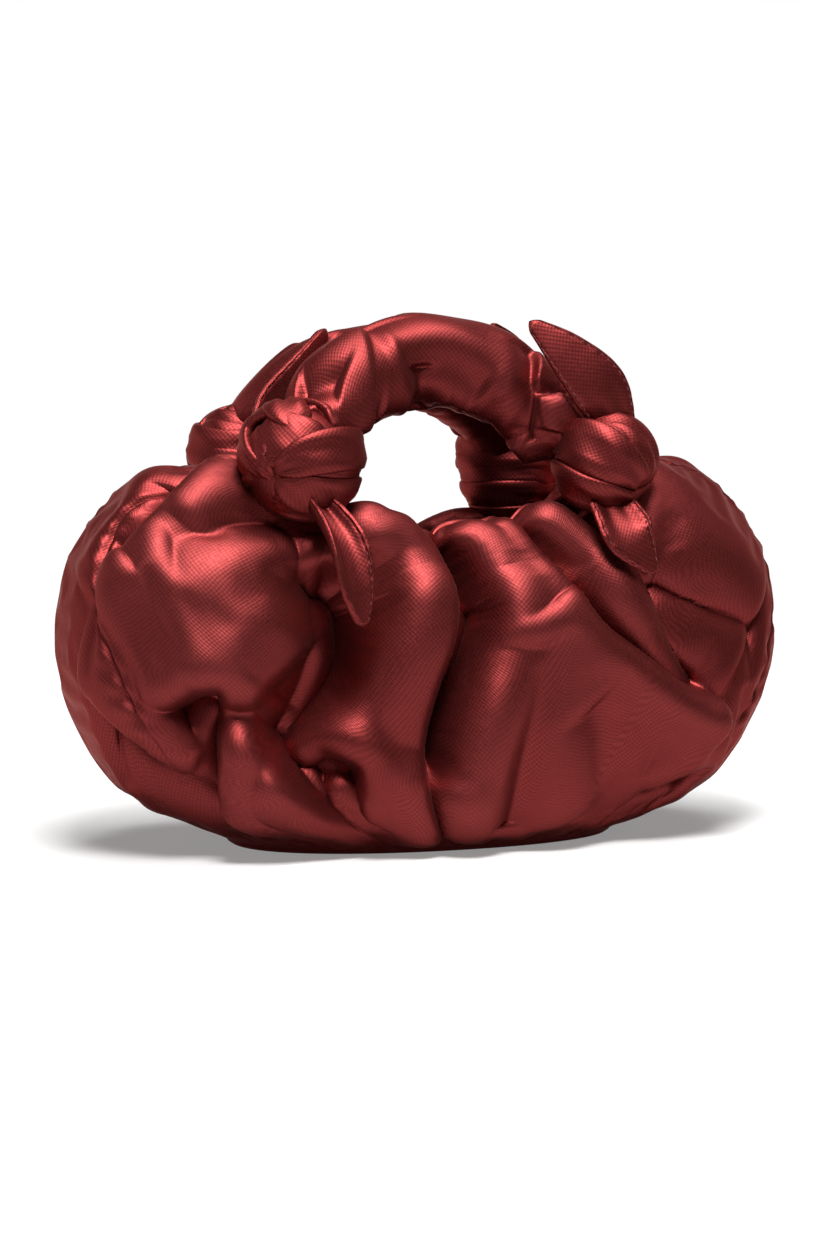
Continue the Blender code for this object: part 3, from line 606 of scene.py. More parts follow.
def pouch_cloth(angle, level):
    """Base + normal * lift - overhang * slope of the lift, which leans each pleat over its low side.

    The slope lies in the base surface: the grid's two tangents times the inverse of their metric times the
    lift's own differences along the grid.
    """
    base = pouch_base(angle, level)
    _, _, normal = surface_slopes(pouch_base, angle, level)
    lift = softened(fold_lift(angle, level), 1)
    round_way, up_way = np.gradient(base, axis=0), np.gradient(base, axis=1)
    round_lift, up_lift = np.gradient(lift, axis=0), np.gradient(lift, axis=1)
    rr, uu, ru = (round_way**2).sum(-1), (up_way**2).sum(-1), (round_way * up_way).sum(-1)
    scale = 1 / np.maximum(rr * uu - ru**2, 1e-18)
    slope = (
        round_way * ((round_lift * uu - up_lift * ru) * scale)[..., None]
        + up_way * ((up_lift * rr - round_lift * ru) * scale)[..., None]
    )
    steepness = np.linalg.norm(slope, axis=-1, keepdims=True)
    slope = slope / np.maximum(steepness, 1e-9) * 1.5 * np.tanh(steepness / 1.5)
    return base + normal * lift[..., None] - OVERHANG * slope, lift


def curve_weights(t):
    """Catmull-Rom weights of the four samples round a point, at share t between the middle two."""
    return np.stack(
        [
            -0.5 * t + t**2 - 0.5 * t**3,
            1 - 2.5 * t**2 + 1.5 * t**3,
            0.5 * t + 2 * t**2 - 1.5 * t**3,
            -0.5 * t**2 + 0.5 * t**3,
        ],
        axis=-1,
    )


def read_grid(grid, column, row):
    """A grid that joins round in its columns, read between its points by Catmull-Rom curves both ways."""
    columns, rows = grid.shape[:2]
    i = np.floor(column).astype(int)
    j = np.clip(np.floor(row).astype(int), 0, rows - 2)
    across, up = curve_weights(column - i), curve_weights(row - j)
    found = 0
    for a in range(4):
        for b in range(4):
            sample = grid[(i + a - 1) % columns, np.clip(j + b - 1, 0, rows - 1)]
            found = found + sample * (across[..., a] * up[..., b])[..., None]
    return found


def settle(points, held, cloth):
    """Lets a grid of cloth find its own folds: a short cloth simulation, with each point held by its share.

    The grid joins round in its columns. It is simulated at SETTLE_SCALE times its size, which suits the
    solver's tolerances, and the settled points are scaled back. Each point moves by move * min(1, farthest
    / length of the move).
    """
    scene = bpy.context.scene
    faces = grid_part(points, True)["faces"]
    mesh = bpy.data.meshes.new("settling")
    mesh.from_pydata((points.reshape(-1, 3) * SETTLE_SCALE).tolist(), [], faces.tolist())
    helper = bpy.data.objects.new("settling", mesh)
    scene.collection.objects.link(helper)
    group = helper.vertex_groups.new(name="held")
    shares = np.round(held.ravel(), 2)
    for share in np.unique(shares):
        group.add(np.nonzero(shares == share)[0].tolist(), float(share), "REPLACE")
    modifier = helper.modifiers.new("cloth", "CLOTH")
    fabric = modifier.settings
    fabric.quality = 5
    fabric.mass = 0.3
    fabric.tension_stiffness = fabric.compression_stiffness = 15
    fabric.shear_stiffness = 5
    fabric.bending_stiffness = 14
    fabric.tension_damping = fabric.compression_damping = fabric.shear_damping = 5
    fabric.bending_damping = 0.5
    fabric.vertex_group_mass = "held"
    fabric.pin_stiffness = 1
    fabric.shrink_min = fabric.shrink_max = -cloth.slack
    fabric.effector_weights.gravity = 0
    modifier.collision_settings.use_collision = False
    modifier.collision_settings.use_self_collision = False
    modifier.point_cache.frame_start, modifier.point_cache.frame_end = 1, cloth.settle_steps
    for step in range(1, cloth.settle_steps + 1):
        scene.frame_set(step)
    settled = bpy.data.meshes.new_from_object(helper.evaluated_get(bpy.context.evaluated_depsgraph_get()))
    found = np.empty(points.size, np.float32)
    settled.vertices.foreach_get("co", found)
    bpy.data.objects.remove(helper)
    bpy.data.meshes.remove(settled)
    scene.frame_set(1)
    found = found.reshape(points.shape).astype(float) / SETTLE_SCALE
    if not np.isfinite(found).all():
        raise RuntimeError("the cloth did not settle")
    moved = found - points
    far = np.linalg.norm(moved, axis=-1, keepdims=True)
    return points + moved * np.minimum(1, FARTHEST_SETTLED / np.maximum(far, 1e-9))


def grid_part(points, round_columns=False, round_rows=False, crest=None, flip=False, uv=None):
    """A grid of points as quads, with its cloth map in metres measured along the grid's own lines."""
    columns, rows = points.shape[:2]
    column_index = np.arange(columns + round_columns) % columns
    row_index = np.arange(rows + round_rows) % rows
    whole = points[np.ix_(column_index, row_index)]
    index = np.arange(columns * rows).reshape(columns, rows)[np.ix_(column_index, row_index)]
    if uv is None:
        along = np.cumsum(np.linalg.norm(np.diff(whole, axis=0, prepend=whole[:1]), axis=-1), axis=0)
        up = np.cumsum(np.linalg.norm(np.diff(whole, axis=1, prepend=whole[:, :1]), axis=-1), axis=1)
        uv = np.stack([along - along[len(along) // 2], up - up[:, up.shape[1] // 2][:, None]], axis=-1)
    corners = ((0, 0), (1, 0), (1, 1), (0, 1))
    if flip:
        corners = corners[::-1]
    wide, tall = whole.shape[0] - 1, whole.shape[1] - 1
    return {
        "points": points.reshape(-1, 3),
        "faces": np.stack([index[a : a + wide, b : b + tall] for a, b in corners], -1).reshape(-1, 4),
        "uv": np.stack([uv[a : a + wide, b : b + tall] for a, b in corners], 2).reshape(-1, 2),
        "crest": np.zeros(columns * rows) if crest is None else crest.ravel(),
    }


def new_piece(name, parts, material, replaced=(), merge=0.0):
    """One mesh object from grid parts, with UV map "cloth" and attribute "crest", riding on the bag."""
    starts = np.cumsum([0, *(len(part["points"]) for part in parts[:-1])])
    points = np.concatenate([part["points"] for part in parts])
    faces = np.concatenate([part["faces"] + start for part, start in zip(parts, starts)])
    uv = np.concatenate([part["uv"] for part in parts])
    crest = np.concatenate([part["crest"] for part in parts])
    mesh = bpy.data.meshes.new(name)
    mesh.from_pydata(points.tolist(), [], faces.tolist())
    layer = mesh.uv_layers.new(name="cloth")
    layer.data.foreach_set("uv", uv.astype(np.float32).ravel())
    crest_highlight_and_wear = mesh.attributes.new("crest", "FLOAT", "POINT")
    crest_highlight_and_wear.data.foreach_set("value", crest.astype(np.float32))
    if merge:
        shape = bmesh.new()
        shape.from_mesh(mesh)
        bmesh.ops.remove_doubles(shape, verts=shape.verts, dist=merge)
        shape.to_mesh(mesh)
        shape.free()
    mesh.shade_smooth()
    mesh.materials.append(material)
    obj = bpy.data.objects.new(name, mesh)
    bpy.context.scene.collection.objects.link(obj)
    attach(obj, BODY)
    if replaced:
        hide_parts(*replaced)
    return obj


def satin_piece(name, parts, cloth, node):
    """A piece of the bag's satin in the place of a node."""
    return new_piece(f"{name}_satin", parts, satin(cloth), (node,), merge=WELD)


def panel_grid(left, right, columns, settled, lift, cloth):
    """One sewn piece of the pouch between two seams, with them sunk and puckered and its edges turned in.

    The points are read from the settled grid; a seam sinks by depth * bell of the distance from it, and small
    waves run along it. Rows past the mouth roll over and down to the lining.
    """
    level = np.linspace(0, 1, PANEL_ROWS + 1)
    turns = [np.mod(side(np.array(WIDEST_LEVEL)) + math.pi, math.tau) - math.pi for side in (left, right)]
    ends = [np.interp(turn, GIRTH_ANGLES, GIRTH_ALONG) for turn in turns]
    width = np.mod(ends[1] - ends[0], GIRTH_ALONG[-1] - GIRTH_ALONG[0])
    edge = np.array(SEAM_EDGE) * MM / width
    inner = np.linspace(edge[-1], 1 - edge[-1], columns - 2 * len(edge) + 2)
    share = np.concatenate([edge[:-1], inner, 1 - edge[-2::-1]])[:, None]
    angle = left(level) + (right(level) - left(level)) * share
    angle, levels = np.broadcast_arrays(angle, level)
    column, row = np.mod(angle + math.pi, math.tau) / math.tau * POUCH_COLUMNS, levels * POUCH_ROWS
    points = read_grid(settled, column, row)
    lift = read_grid(lift[..., None], column, row)[..., 0]
    normal = surface_slopes(pouch_base, angle, levels)[2]
    from_seam = np.minimum(share, 1 - share) * width * np.ones_like(levels)
    waves = np.sin(levels * LEVEL_RISE / PUCKER_PITCH * math.tau + 2 * np.sin(levels * 21))
    pucker = PUCKER_DEPTH * waves * bank(from_seam - PUCKER_REACH, PUCKER_REACH)
    sunk = cloth.seam_depth * bank(from_seam, SEAM_REACH) - pucker
    points = points - normal * (sunk * ease(levels / 0.05) * ease((1 - levels) / 0.04))[..., None]
    rim, inward = points[:, -1:], -unit(normal[:, -1:] * (1, 1, 0))
    roll = np.radians(np.linspace(0, 180, 7))[1:, None]
    rolled = rim + RIM_RADIUS * (inward * (1 - np.cos(roll)) + (0, 0, 1) * np.sin(roll))
    joined = stacked_ovals(LINING_LEVELS, angle[:, -1:], levels[:, -1:]) + (0, 0, 0.4 * MM)
    fall = np.linspace(0, 1, 7)[1:, None]
    rolled_in = rolled[:, -1:] + (joined - rolled[:, -1:]) * fall - (0, 0, 5 * MM) * np.sin(fall * math.pi)
    hem = points[:, :1]
    toward_base = -unit(normal[:, :1] * (1, 1, 0))
    tuck = np.linspace(1, 0, 5)[:-1, None]
    tucked = hem + toward_base * 2.5 * MM * tuck - (0, 0, 1) * (hem[..., 2:] - 0.5 * MM) * tuck**0.5
    points = np.concatenate([tucked, points, rolled, rolled_in], axis=1)
    # The crest share rises with the fold's height; the satin uses it for a painted highlight on raised folds,
    # together with wear.
    crest = np.clip(lift / (10 * MM), 0, 1)
    crest = np.pad(crest, ((0, 0), (tucked.shape[1], rolled.shape[1] + rolled_in.shape[1])))
    return grid_part(points, crest=crest)


def seam_angle(level):
    """Angle of the front right seam at a level, in radians."""
    return np.radians(smooth_rows(SEAM_ANGLES, level)[..., 0])


def frames_along(middle, facing):
    """For each point of a line, the direction across it and the squared-up facing direction."""
    along = unit(np.gradient(middle, axis=0))
    across = unit(np.cross(along, np.broadcast_to(facing, along.shape)))
    return across, np.cross(across, along)


def handle_grid(side):
    """A stuffed tube from knot to knot: middle + (radius + lift) * outward, with its folds and end gathers.

    Turn is 0 under the arch and 90 in front. The back handle is the front one turned half round, on its own
    route.
    """
    line = HANDLE_ROUTES[side] if side == "front" else HANDLE_ROUTES[side][::-1]
    facing = (0, -1.0, 0) if side == "front" else (0, 1.0, 0)
    share = np.linspace(0, 1, HANDLE_STEPS + 1)
    route = smooth_rows(line, share) * MM
    middle, radius = route[:, :3], route[:, 3:]
    across, out = frames_along(middle, np.array(facing))
    turn = np.linspace(-math.pi / 2, 1.5 * math.pi, HANDLE_SIDES, endpoint=False)[None, :]
    length = path_length(middle)
    spread = np.stack(np.broadcast_arrays(share[:, None] * length, turn * HANDLE_RADIUS), axis=-1)

    def place(rows):
        """A fold line of the handle, from shares and degrees to the tube laid open."""
        return np.stack([rows[:, 0] * length, np.radians(rows[:, 1]) * HANDLE_RADIUS], axis=-1)

    lift = folded(spread, HANDLE_PLEATS, HANDLE_RIDGES, place)
    joint = np.mod(turn + math.pi / 2, math.tau)
    lift = lift * ease(np.minimum(joint, math.tau - joint) / 0.35)
    along = share[:, None] * length
    from_end = np.minimum(along, length - along)
    gathers = np.sin(7 * turn + 1.2) + 0.6 * np.sin(12 * turn + 0.5 + 30 * share[:, None])
    lift = lift + 0.9 * MM * gathers * bank(from_end - 6 * MM, 13 * MM)
    under = bank(np.angle(np.exp(1j * turn)), 0.8)
    crumple = np.sin(along / (15 * MM) * math.tau + 1.5 * np.sin(turn * 2))
    crumple = crumple + 0.5 * np.sin(along / (8.5 * MM) * math.tau)
    lift = lift + 0.25 * MM * crumple * under
    lift = lift + 0.5 * MM * np.sin(along / (31 * MM) * math.tau + 2 * turn)
    outward = across[:, None] * np.cos(turn)[..., None] + out[:, None] * np.sin(turn)[..., None]
    closing = np.clip(np.minimum(share, 1 - share)[:, None] / 0.008, 0, 1) ** 0.5
    points = middle[:, None] + outward * ((radius + lift) * closing)[..., None]
    # The crest share rises with the fold's height; the satin uses it for a painted highlight on raised folds,
    # together with wear.
    return points, np.clip(lift / (5 * MM), 0, 1)


def direction(azimuth, elevation):
    """Unit vector so far round from the front and so far up: (sin az cos el, - cos az cos el, sin el)."""
    level = np.cos(elevation)
    return np.stack([np.sin(azimuth) * level, -np.cos(azimuth) * level, np.sin(elevation)], axis=-1)


def band_grid(middle, half, rows, thick, pleats):
    """One band of a knot: a flattened oval section carried along a path on an egg shape.

    Each section point is moved across the path, put back towards the egg by a power of its scale, and lifted
    square off it by lift + thick * section height + a lean to one edge, less a groove for each pleat.
    """
    path = smooth_rows(rows, np.linspace(0, 1, BAND_STEPS + 1))
    azimuth, elevation = np.radians(path[:, 0]), np.radians(path[:, 1])
    half_width, lift = path[:, 2:3] * MM, path[:, 3:4] * MM
    half = (np.array(half) - BAND_INSET) * MM
    aim = direction(azimuth, elevation)
    spot = aim * half
    along = unit(np.gradient(spot, axis=0))
    across = unit(np.cross(aim / half, along))
    turn = ring(BAND_SIDES)[None, :]
    side = signed_power(np.cos(turn), 0.7)
    top = signed_power(np.sin(turn), 0.55)
    ends = np.minimum(np.arange(BAND_STEPS + 1), np.arange(BAND_STEPS, -1, -1))[:, None]
    closing = np.minimum(1, ends)
    point = spot[:, None] + across[:, None] * (side * half_width * closing)[..., None]
    point = point / np.linalg.norm(point / half, axis=-1, keepdims=True) ** BAND_ROUND
    outward = unit(point / half**2)
    full = thick * MM * np.minimum(1, half_width / (4 * MM)) * closing
    height = lift + full * np.where(top > 0, top, 0.5 * top) + 0.35 * full * side
    share = np.linspace(0, 1, BAND_STEPS + 1)[:, None]
    for k in range(pleats):
        groove = (k + 1) / (pleats + 1) * 1.5 - 0.75 + 0.12 * np.sin(7 * share + 2 * k + rows[0][1])
        fading = ease(np.minimum(share, 1 - share) / 0.2)
        height = height - 0.42 * full * bank(side - groove, 0.13) * (top > 0) * fading
    wrinkle = 0.12 * full * np.sin(26 * share + 5 * side + rows[0][0]) * (top > 0) * (1 - side**2)
    return np.array(middle) * MM + point + outward * (height + wrinkle)[..., None]


def knot_core(middle, half):
    """The egg shape under a knot's bands."""
    lean = np.linspace(-math.pi / 2, math.pi / 2, CORE_ROWS + 1)[None, :]
    turn = ring(CORE_COLUMNS)[:, None]
    lean, turn = np.broadcast_arrays(lean, turn)
    return np.array(middle) * MM + direction(turn, lean) * (np.array(half) - CORE_INSET) * MM


def turned_half(rows):
    """A band's path turned half round."""
    return tuple((azimuth + 180, *rest) for azimuth, *rest in rows)


def knot_bands(place):
    """A knot's bands: the front ones as they are, the back ones turned half round and with level wraps."""
    if place in KNOT_BANDS:
        return KNOT_BANDS[place]
    outer = KNOT_BANDS["front_right" if place == "back_left" else "front_left"]
    return (*((turned_half(rows), thick, pleats) for rows, thick, pleats in outer), *RING_BANDS)


def tail_grid(line, facing, curl):
    """A folded strip along its middle line, curled about its length, with a bead and a groove at each edge.

    The section is x = R sin a, y = R (1 - cos a) with a the share across times half the curl, and the strip's
    two skins stand a thickness either side of it.
    """
    share = np.linspace(0, 1, TAIL_STEPS + 1)
    route = smooth_rows(line, share) * MM
    middle, half_width = route[:, :3], route[:, 3:]
    rounding = np.clip(np.minimum((1 - share[:, None]) / 0.05, share[:, None] / 0.01), 0, 1)
    half_width = half_width * np.sqrt(rounding)
    across, out = frames_along(middle, np.array(facing, float))
    turn = ring(TAIL_SIDES)[None, :]
    side = signed_power(np.cos(turn), TAIL_SQUARE)
    top = np.sign(np.sin(turn))
    edge = np.abs(side)
    bead, groove = 0.5 * bank(edge - 0.93, 0.05), 0.55 * bank(edge - TAIL_GROOVE, 0.035)
    thick = 1.0 + bead - groove + 0.5 * (1 - edge**2)
    close = np.clip(np.minimum((1 - share[:, None]) / 0.03, share[:, None] / 0.01), 0, 1)
    thick = thick * np.sqrt(np.clip(1 - edge**8, 0, 1)) * MM * close
    bend = np.radians(curl[0] + (curl[1] - curl[0]) * ease(share))[:, None] / 2
    bend = np.where(np.abs(bend) < 0.01, 0.01, bend)
    spread = side * bend
    flat = half_width / bend * np.sin(spread)
    bowed = half_width / bend * (1 - np.cos(spread))
    pleats = 0.45 * MM * np.cos(2.5 * math.pi * side + 0.6)
    pleats = pleats * bank(share[:, None], 0.28) * np.minimum(1, half_width / (6 * MM))
    pucker = 0.18 * MM * np.sin(share[:, None] * 60) * bank(edge - 0.88, 0.12)
    height = bowed + pleats + top * thick + pucker
    tilt = top * thick
    return (
        middle[:, None]
        + across[:, None] * (flat - tilt * np.sin(spread))[..., None]
        + out[:, None] * (height - tilt * (1 - np.cos(spread)))[..., None]
    )


def stitch_parts(places, alongs, outs):
    """Short rounded stitches: an oval bead at each place, along the seam and pressed into the cloth."""
    lean = np.linspace(-math.pi / 2, math.pi / 2, 7)
    turn = np.linspace(0, math.tau, 7)[:-1]
    alongs, outs = unit(alongs), unit(outs)
    across = unit(np.cross(outs, alongs))
    outs = np.cross(alongs, across)
    x = (np.sin(lean) * STITCH_LENGTH / 2)[None, None, :, None]
    y = (np.cos(turn)[:, None] * np.cos(lean) * STITCH_RADIUS)[None, ..., None]
    z = (np.sin(turn)[:, None] * np.cos(lean) * STITCH_RADIUS)[None, ..., None]
    places, alongs, across, outs = (each[:, None, None] for each in (places, alongs, across, outs))
    beads = places + alongs * x + across * y + outs * z
    part = grid_part(beads[0], True)
    count = len(beads)
    size = len(part["points"])
    return {
        "points": beads.reshape(-1, 3),
        "faces": (part["faces"][None] + size * np.arange(count)[:, None, None]).reshape(-1, 4),
        "uv": np.tile(part["uv"], (count, 1)),
        "crest": np.zeros(count * size),
    }


class Nodes:
    """Adds shader nodes to a material or a world one after another."""

    def __init__(self, owner, shader="Principled BSDF"):
        owner.use_nodes = True
        self.tree = owner.node_tree
        self.shader = self.tree.nodes[shader]

    def add(self, kind, inputs=(), **settings):
        """A node with its settings made and its inputs linked or filled in."""
        node = self.tree.nodes.new(kind)
        for name, value in settings.items():
            setattr(node, name, value)
        for key, value in dict(inputs).items():
            if isinstance(value, bpy.types.NodeSocket):
                self.tree.links.new(value, node.inputs[key])
            else:
                node.inputs[key].default_value = value
        return node

    def fill(self, inputs):
        """Fills in plain inputs of the shader."""
        for name, value in inputs.items():
            self.shader.inputs[name].default_value = value

    def math(self, operation, *values):
        """One sum of a maths node."""
        return self.add("ShaderNodeMath", enumerate(values), operation=operation).outputs[0]

    def range(self, value, low, high, to_low, to_high):
        """Maps low..high to to_low..to_high in a straight line, and holds the ends."""
        inputs = {"Value": value, "From Min": low, "From Max": high, "To Min": to_low, "To Max": to_high}
        return self.add("ShaderNodeMapRange", inputs).outputs[0]

    def noise(self, place, scale, detail, rough):
        """Soft noise between 0 and 1."""
        inputs = {"Vector": place, "Scale": scale, "Detail": detail, "Roughness": rough}
        return self.add("ShaderNodeTexNoise", inputs).outputs["Fac"]

    def mix(self, share, one, other):
        """Colour one * (1 - share) + other * share."""
        return self.add("ShaderNodeMix", {0: share, 6: one, 7: other}, data_type="RGBA").outputs[2]

    def into(self, name, socket):
        """Links a socket to an input of the shader."""
        self.tree.links.new(socket, self.shader.inputs[name])


def woven(name, colour, cloth, pitch, deep, glow, rough, metal, gleam):
    """Woven cloth: floats as the product of two sines, along the piece's own cloth map.

    The weave is sin(pi * u / pitch) * sin(pi * v / pitch). Threads catch the light as bump, hollows between
    them are darker, and the colour and the gloss vary in broad soft patches. Crests of the folds are painted
    a little paler, a painted highlight on the raised folds together with wear, and are duller from wear.
    """
    material = bpy.data.materials.get(name)
    if material:
        return material
    material = bpy.data.materials.new(name)
    n = Nodes(material)
    cloth_map = n.add("ShaderNodeUVMap", uv_map="cloth").outputs[0]
    parts = n.add("ShaderNodeSeparateXYZ", {0: cloth_map})
    turns = math.pi / (cloth.weave_pitch * pitch)
    u = n.math("MULTIPLY", parts.outputs[0], turns)
    v = n.math("MULTIPLY", parts.outputs[1], turns)
    weave = n.math("MULTIPLY", n.math("SINE", u), n.math("SINE", v))
    place = n.add("ShaderNodeTexCoord").outputs["Object"]
    slub = n.noise(place, 700, 2.0, 0.6)
    broad = n.noise(place, 26, 3.0, 0.5)
    crest_highlight_and_wear = n.add("ShaderNodeAttribute", attribute_name="crest").outputs["Fac"]
    dark = (*[c * 0.68 for c in colour], 1)
    pale = (*[min(1, c * 1.2 + 0.002) for c in colour], 1)
    shade = n.mix(n.range(weave, -1, 1, 0, 1), dark, pale)
    shade = n.mix(n.range(broad, 0.3, 0.7, 0, 0.35), shade, (*[c * 0.8 for c in colour], 1))
    # Painted highlight together with wear: raised fold crests, by the crest attribute, are mixed towards a
    # paler colour.
    crest_highlight_and_wear_colour = (*[min(1, c * 1.3 + 0.02) for c in colour], 1)
    shade = n.mix(n.math("MULTIPLY", crest_highlight_and_wear, 0.16), shade, crest_highlight_and_wear_colour)
    n.into("Base Color", shade)
    gloss = n.range(slub, 0.3, 0.7, rough - 0.03, rough + 0.05)
    n.into("Roughness", n.math("ADD", gloss, n.math("MULTIPLY", crest_highlight_and_wear, 0.05)))
    height = n.math("ADD", n.math("MULTIPLY", weave, 0.5), n.math("MULTIPLY", slub, 0.6))
    bump = n.add("ShaderNodeBump", {"Height": height, "Distance": 0.000045 * deep, "Strength": 1.0})
    n.into("Normal", bump.outputs[0])
    tint = (0.8, 0.5, 0.48, 1) if metal else (1, 1, 1, 1)
    n.fill({"Metallic": metal, "Specular IOR Level": gleam, "Specular Tint": tint})
    n.fill({"Sheen Weight": glow, "Sheen Roughness": 0.4, "Sheen Tint": (*cloth.satin_sheen, 1)})
    return material


def satin(cloth):
    """The bag's satin."""
    return woven(
        "red satin", cloth.satin_red, cloth,
        pitch=1.0, deep=1.0, glow=0.02, rough=0.465, metal=0.95, gleam=0.35,
    )


def lining_cloth(cloth):
    """The lining's duller cloth."""
    return woven(
        "lining cloth", cloth.lining_red, cloth,
        pitch=0.5, deep=0.6, glow=0.05, rough=0.62, metal=0, gleam=0.3,
    )


def thread(cloth):
    """Twisted sewing thread: the sine of tau * (u + v) / 0.4 mm, light on its crests and dark between."""
    material = bpy.data.materials.new("sewing thread")
    n = Nodes(material)
    parts = n.add("ShaderNodeSeparateXYZ", {0: n.add("ShaderNodeUVMap", uv_map="cloth").outputs[0]})
    slant = n.math("ADD", parts.outputs[0], parts.outputs[1])
    twist = n.math("SINE", n.math("MULTIPLY", slant, math.tau / 0.0004))
    colour = cloth.thread_red
    dark, pale = (*[c * 0.6 for c in colour], 1), (*[c * 1.3 for c in colour], 1)
    n.into("Base Color", n.mix(n.range(twist, -1, 1, 0, 1), dark, pale))
    bump = n.add("ShaderNodeBump", {"Height": twist, "Distance": 0.00004, "Strength": 0.8})
    n.into("Normal", bump.outputs[0])
    n.fill({"Roughness": 0.5, "Sheen Weight": 0.2})
    return material


class HANDBAG_OT_pouch(bpy.types.Operator):
    """Make the gathered pouch: front, back and two end gussets of satin"""

    bl_idname = "handbag.pouch"
    bl_label = "Pouch"

    def execute(self, context):
        cloth = context.scene.handbag_cloth
        angle = np.linspace(-math.pi, math.pi, POUCH_COLUMNS, endpoint=False)[:, None]
        level = np.linspace(0, 1, POUCH_ROWS + 1)[None, :]
        angle, level = np.broadcast_arrays(angle, level)
        rough, lift = pouch_cloth(angle, level)
        held = np.maximum(cloth.hold, np.clip(np.maximum(1 - level / 0.05, (level - 0.93) / 0.05), 0, 1))
        settled = settle(rough, held, cloth)
        half, whole = math.pi, math.tau
        face, gusset = (FRONT_COLUMNS, (0.335, 0.165)), (GUSSET_COLUMNS, (0.125, 0.145))
        panels = (
            ("front", "front_panel", lambda v: -seam_angle(v), seam_angle, *face),
            ("right_gusset", "right_gusset", seam_angle, lambda v: half - seam_angle(v), *gusset),
            ("back", "back_panel", lambda v: half - seam_angle(v), lambda v: half + seam_angle(v), *face),
            (
                "left_gusset", "left_gusset", lambda v: half + seam_angle(v), lambda v: whole - seam_angle(v),
                *gusset,
            ),
        )
        for name, node, left, right, columns, cut in panels:
            part = panel_grid(left, right, columns, settled, lift, cloth)
            piece = new_piece(f"{name}_satin", [part], satin(cloth), (node,))
        return {"FINISHED"}


class HANDBAG_OT_base(bpy.types.Operator):
    """Make the flat oval base, a thin board covered in satin with a seam sunk near its edge"""

    bl_idname = "handbag.base"
    bl_label = "Base"

    def execute(self, context):
        cloth = context.scene.handbag_cloth
        angle = ring(BASE_SIDES)[:, None]
        rows = np.array(BASE_PROFILE)
        out, up = rows[:, 0][None, :], rows[:, 1][None, :]
        rim = pouch_base(angle, np.zeros_like(angle))
        heights = np.broadcast_to(up[..., None], (BASE_SIDES, len(rows), 1)) * MM
        points = np.concatenate([rim[..., :2] * out[..., None], heights], axis=-1)
        flat = points[..., :2].copy()
        part = grid_part(points, True, uv=np.concatenate([flat, flat[:1]]))
        satin_piece("base", [part], cloth, "base_panel")
        return {"FINISHED"}


class HANDBAG_OT_lining(bpy.types.Operator):
    """Make the lining bag, which hangs inside the pouch from its mouth"""

    bl_idname = "handbag.lining"
    bl_label = "Lining"

    def execute(self, context):
        cloth = context.scene.handbag_cloth
        angle = ring(LINING_COLUMNS)[:, None]
        level = np.linspace(0, 1, LINING_ROWS + 1)[None, :]
        angle, level = np.broadcast_arrays(angle, level)
        side = stacked_ovals(LINING_LEVELS, angle, level)
        _, _, normal = surface_slopes(lambda a, v: stacked_ovals(LINING_LEVELS, a, v), angle, level)
        sway = np.sin(11 * angle + 2.2 * np.sin(3 * level)) + 0.6 * np.sin(19 * angle + 1.1 + 2 * level)
        slack = 1.1 * MM * sway * ease(level / 0.25) * ease((1 - level) / 0.12) * (0.4 + 0.6 * level)
        inside = side - normal * (slack + 1.1 * MM)[..., None]
        shrink = np.linspace(0, 1, 20)[None, :-1, None]
        floor = inside[:, :1] * (1, 1, 0) * shrink + (0, 0, 3.6 * MM)
        floor = floor + (0, 0, 0.5 * MM) * np.sin(floor[..., :1] * 90) * np.cos(floor[..., 1:2] * 110)
        part = grid_part(np.concatenate([floor, inside], axis=1), True, flip=True)
        piece = new_piece("lining_bag", [part], lining_cloth(cloth), ("lining",), merge=WELD)
        return {"FINISHED"}


class HANDBAG_OT_handles(bpy.types.Operator):
    """Make the two stuffed satin handles"""

    bl_idname = "handbag.handles"
    bl_label = "Handles"

    def execute(self, context):
        cloth = context.scene.handbag_cloth
        for side in ("front", "back"):
            points, crest = handle_grid(side)
            part = grid_part(points, False, True, crest)
            satin_piece(f"{side}_handle", [part], cloth, f"{side}_handle")
        return {"FINISHED"}


class HANDBAG_OT_knots(bpy.types.Operator):
    """Make the four knots that tie the handles to the pouch"""

    bl_idname = "handbag.knots"
    bl_label = "Knots"

    def execute(self, context):
        cloth = context.scene.handbag_cloth
        for place, (middle, half) in KNOTS.items():
            parts = [grid_part(knot_core(middle, half), True)]
            for rows, thick, pleats in knot_bands(place):
                band = band_grid(middle, half, rows, thick, pleats)
                parts.append(grid_part(band, False, True, flip=True))
            satin_piece(f"{place}_knot", parts, cloth, f"{place}_knot")
        return {"FINISHED"}


class HANDBAG_OT_tails(bpy.types.Operator):
    """Make the eight pointed tails of the knots, with their stitched edges"""

    bl_idname = "handbag.tails"
    bl_label = "Tails"

    def execute(self, context):
        cloth = context.scene.handbag_cloth
        threads = []
        for name, (line, facing, curl) in TAILS.items():
            points = tail_grid(line, facing, curl)
            part = grid_part(points, False, True)
            piece = satin_piece(f"{name}_tail", [part], cloth, f"{name}_tail")
            route = np.array(line, float) * MM
            middle = smooth_rows(route[:, :3], np.linspace(0, 1, 40))
            length = path_length(middle)
            threads += tail_stitches(points, length)
        new_piece("tail_stitches", threads, thread(cloth), merge=STITCH_WELD)
        return {"FINISHED"}


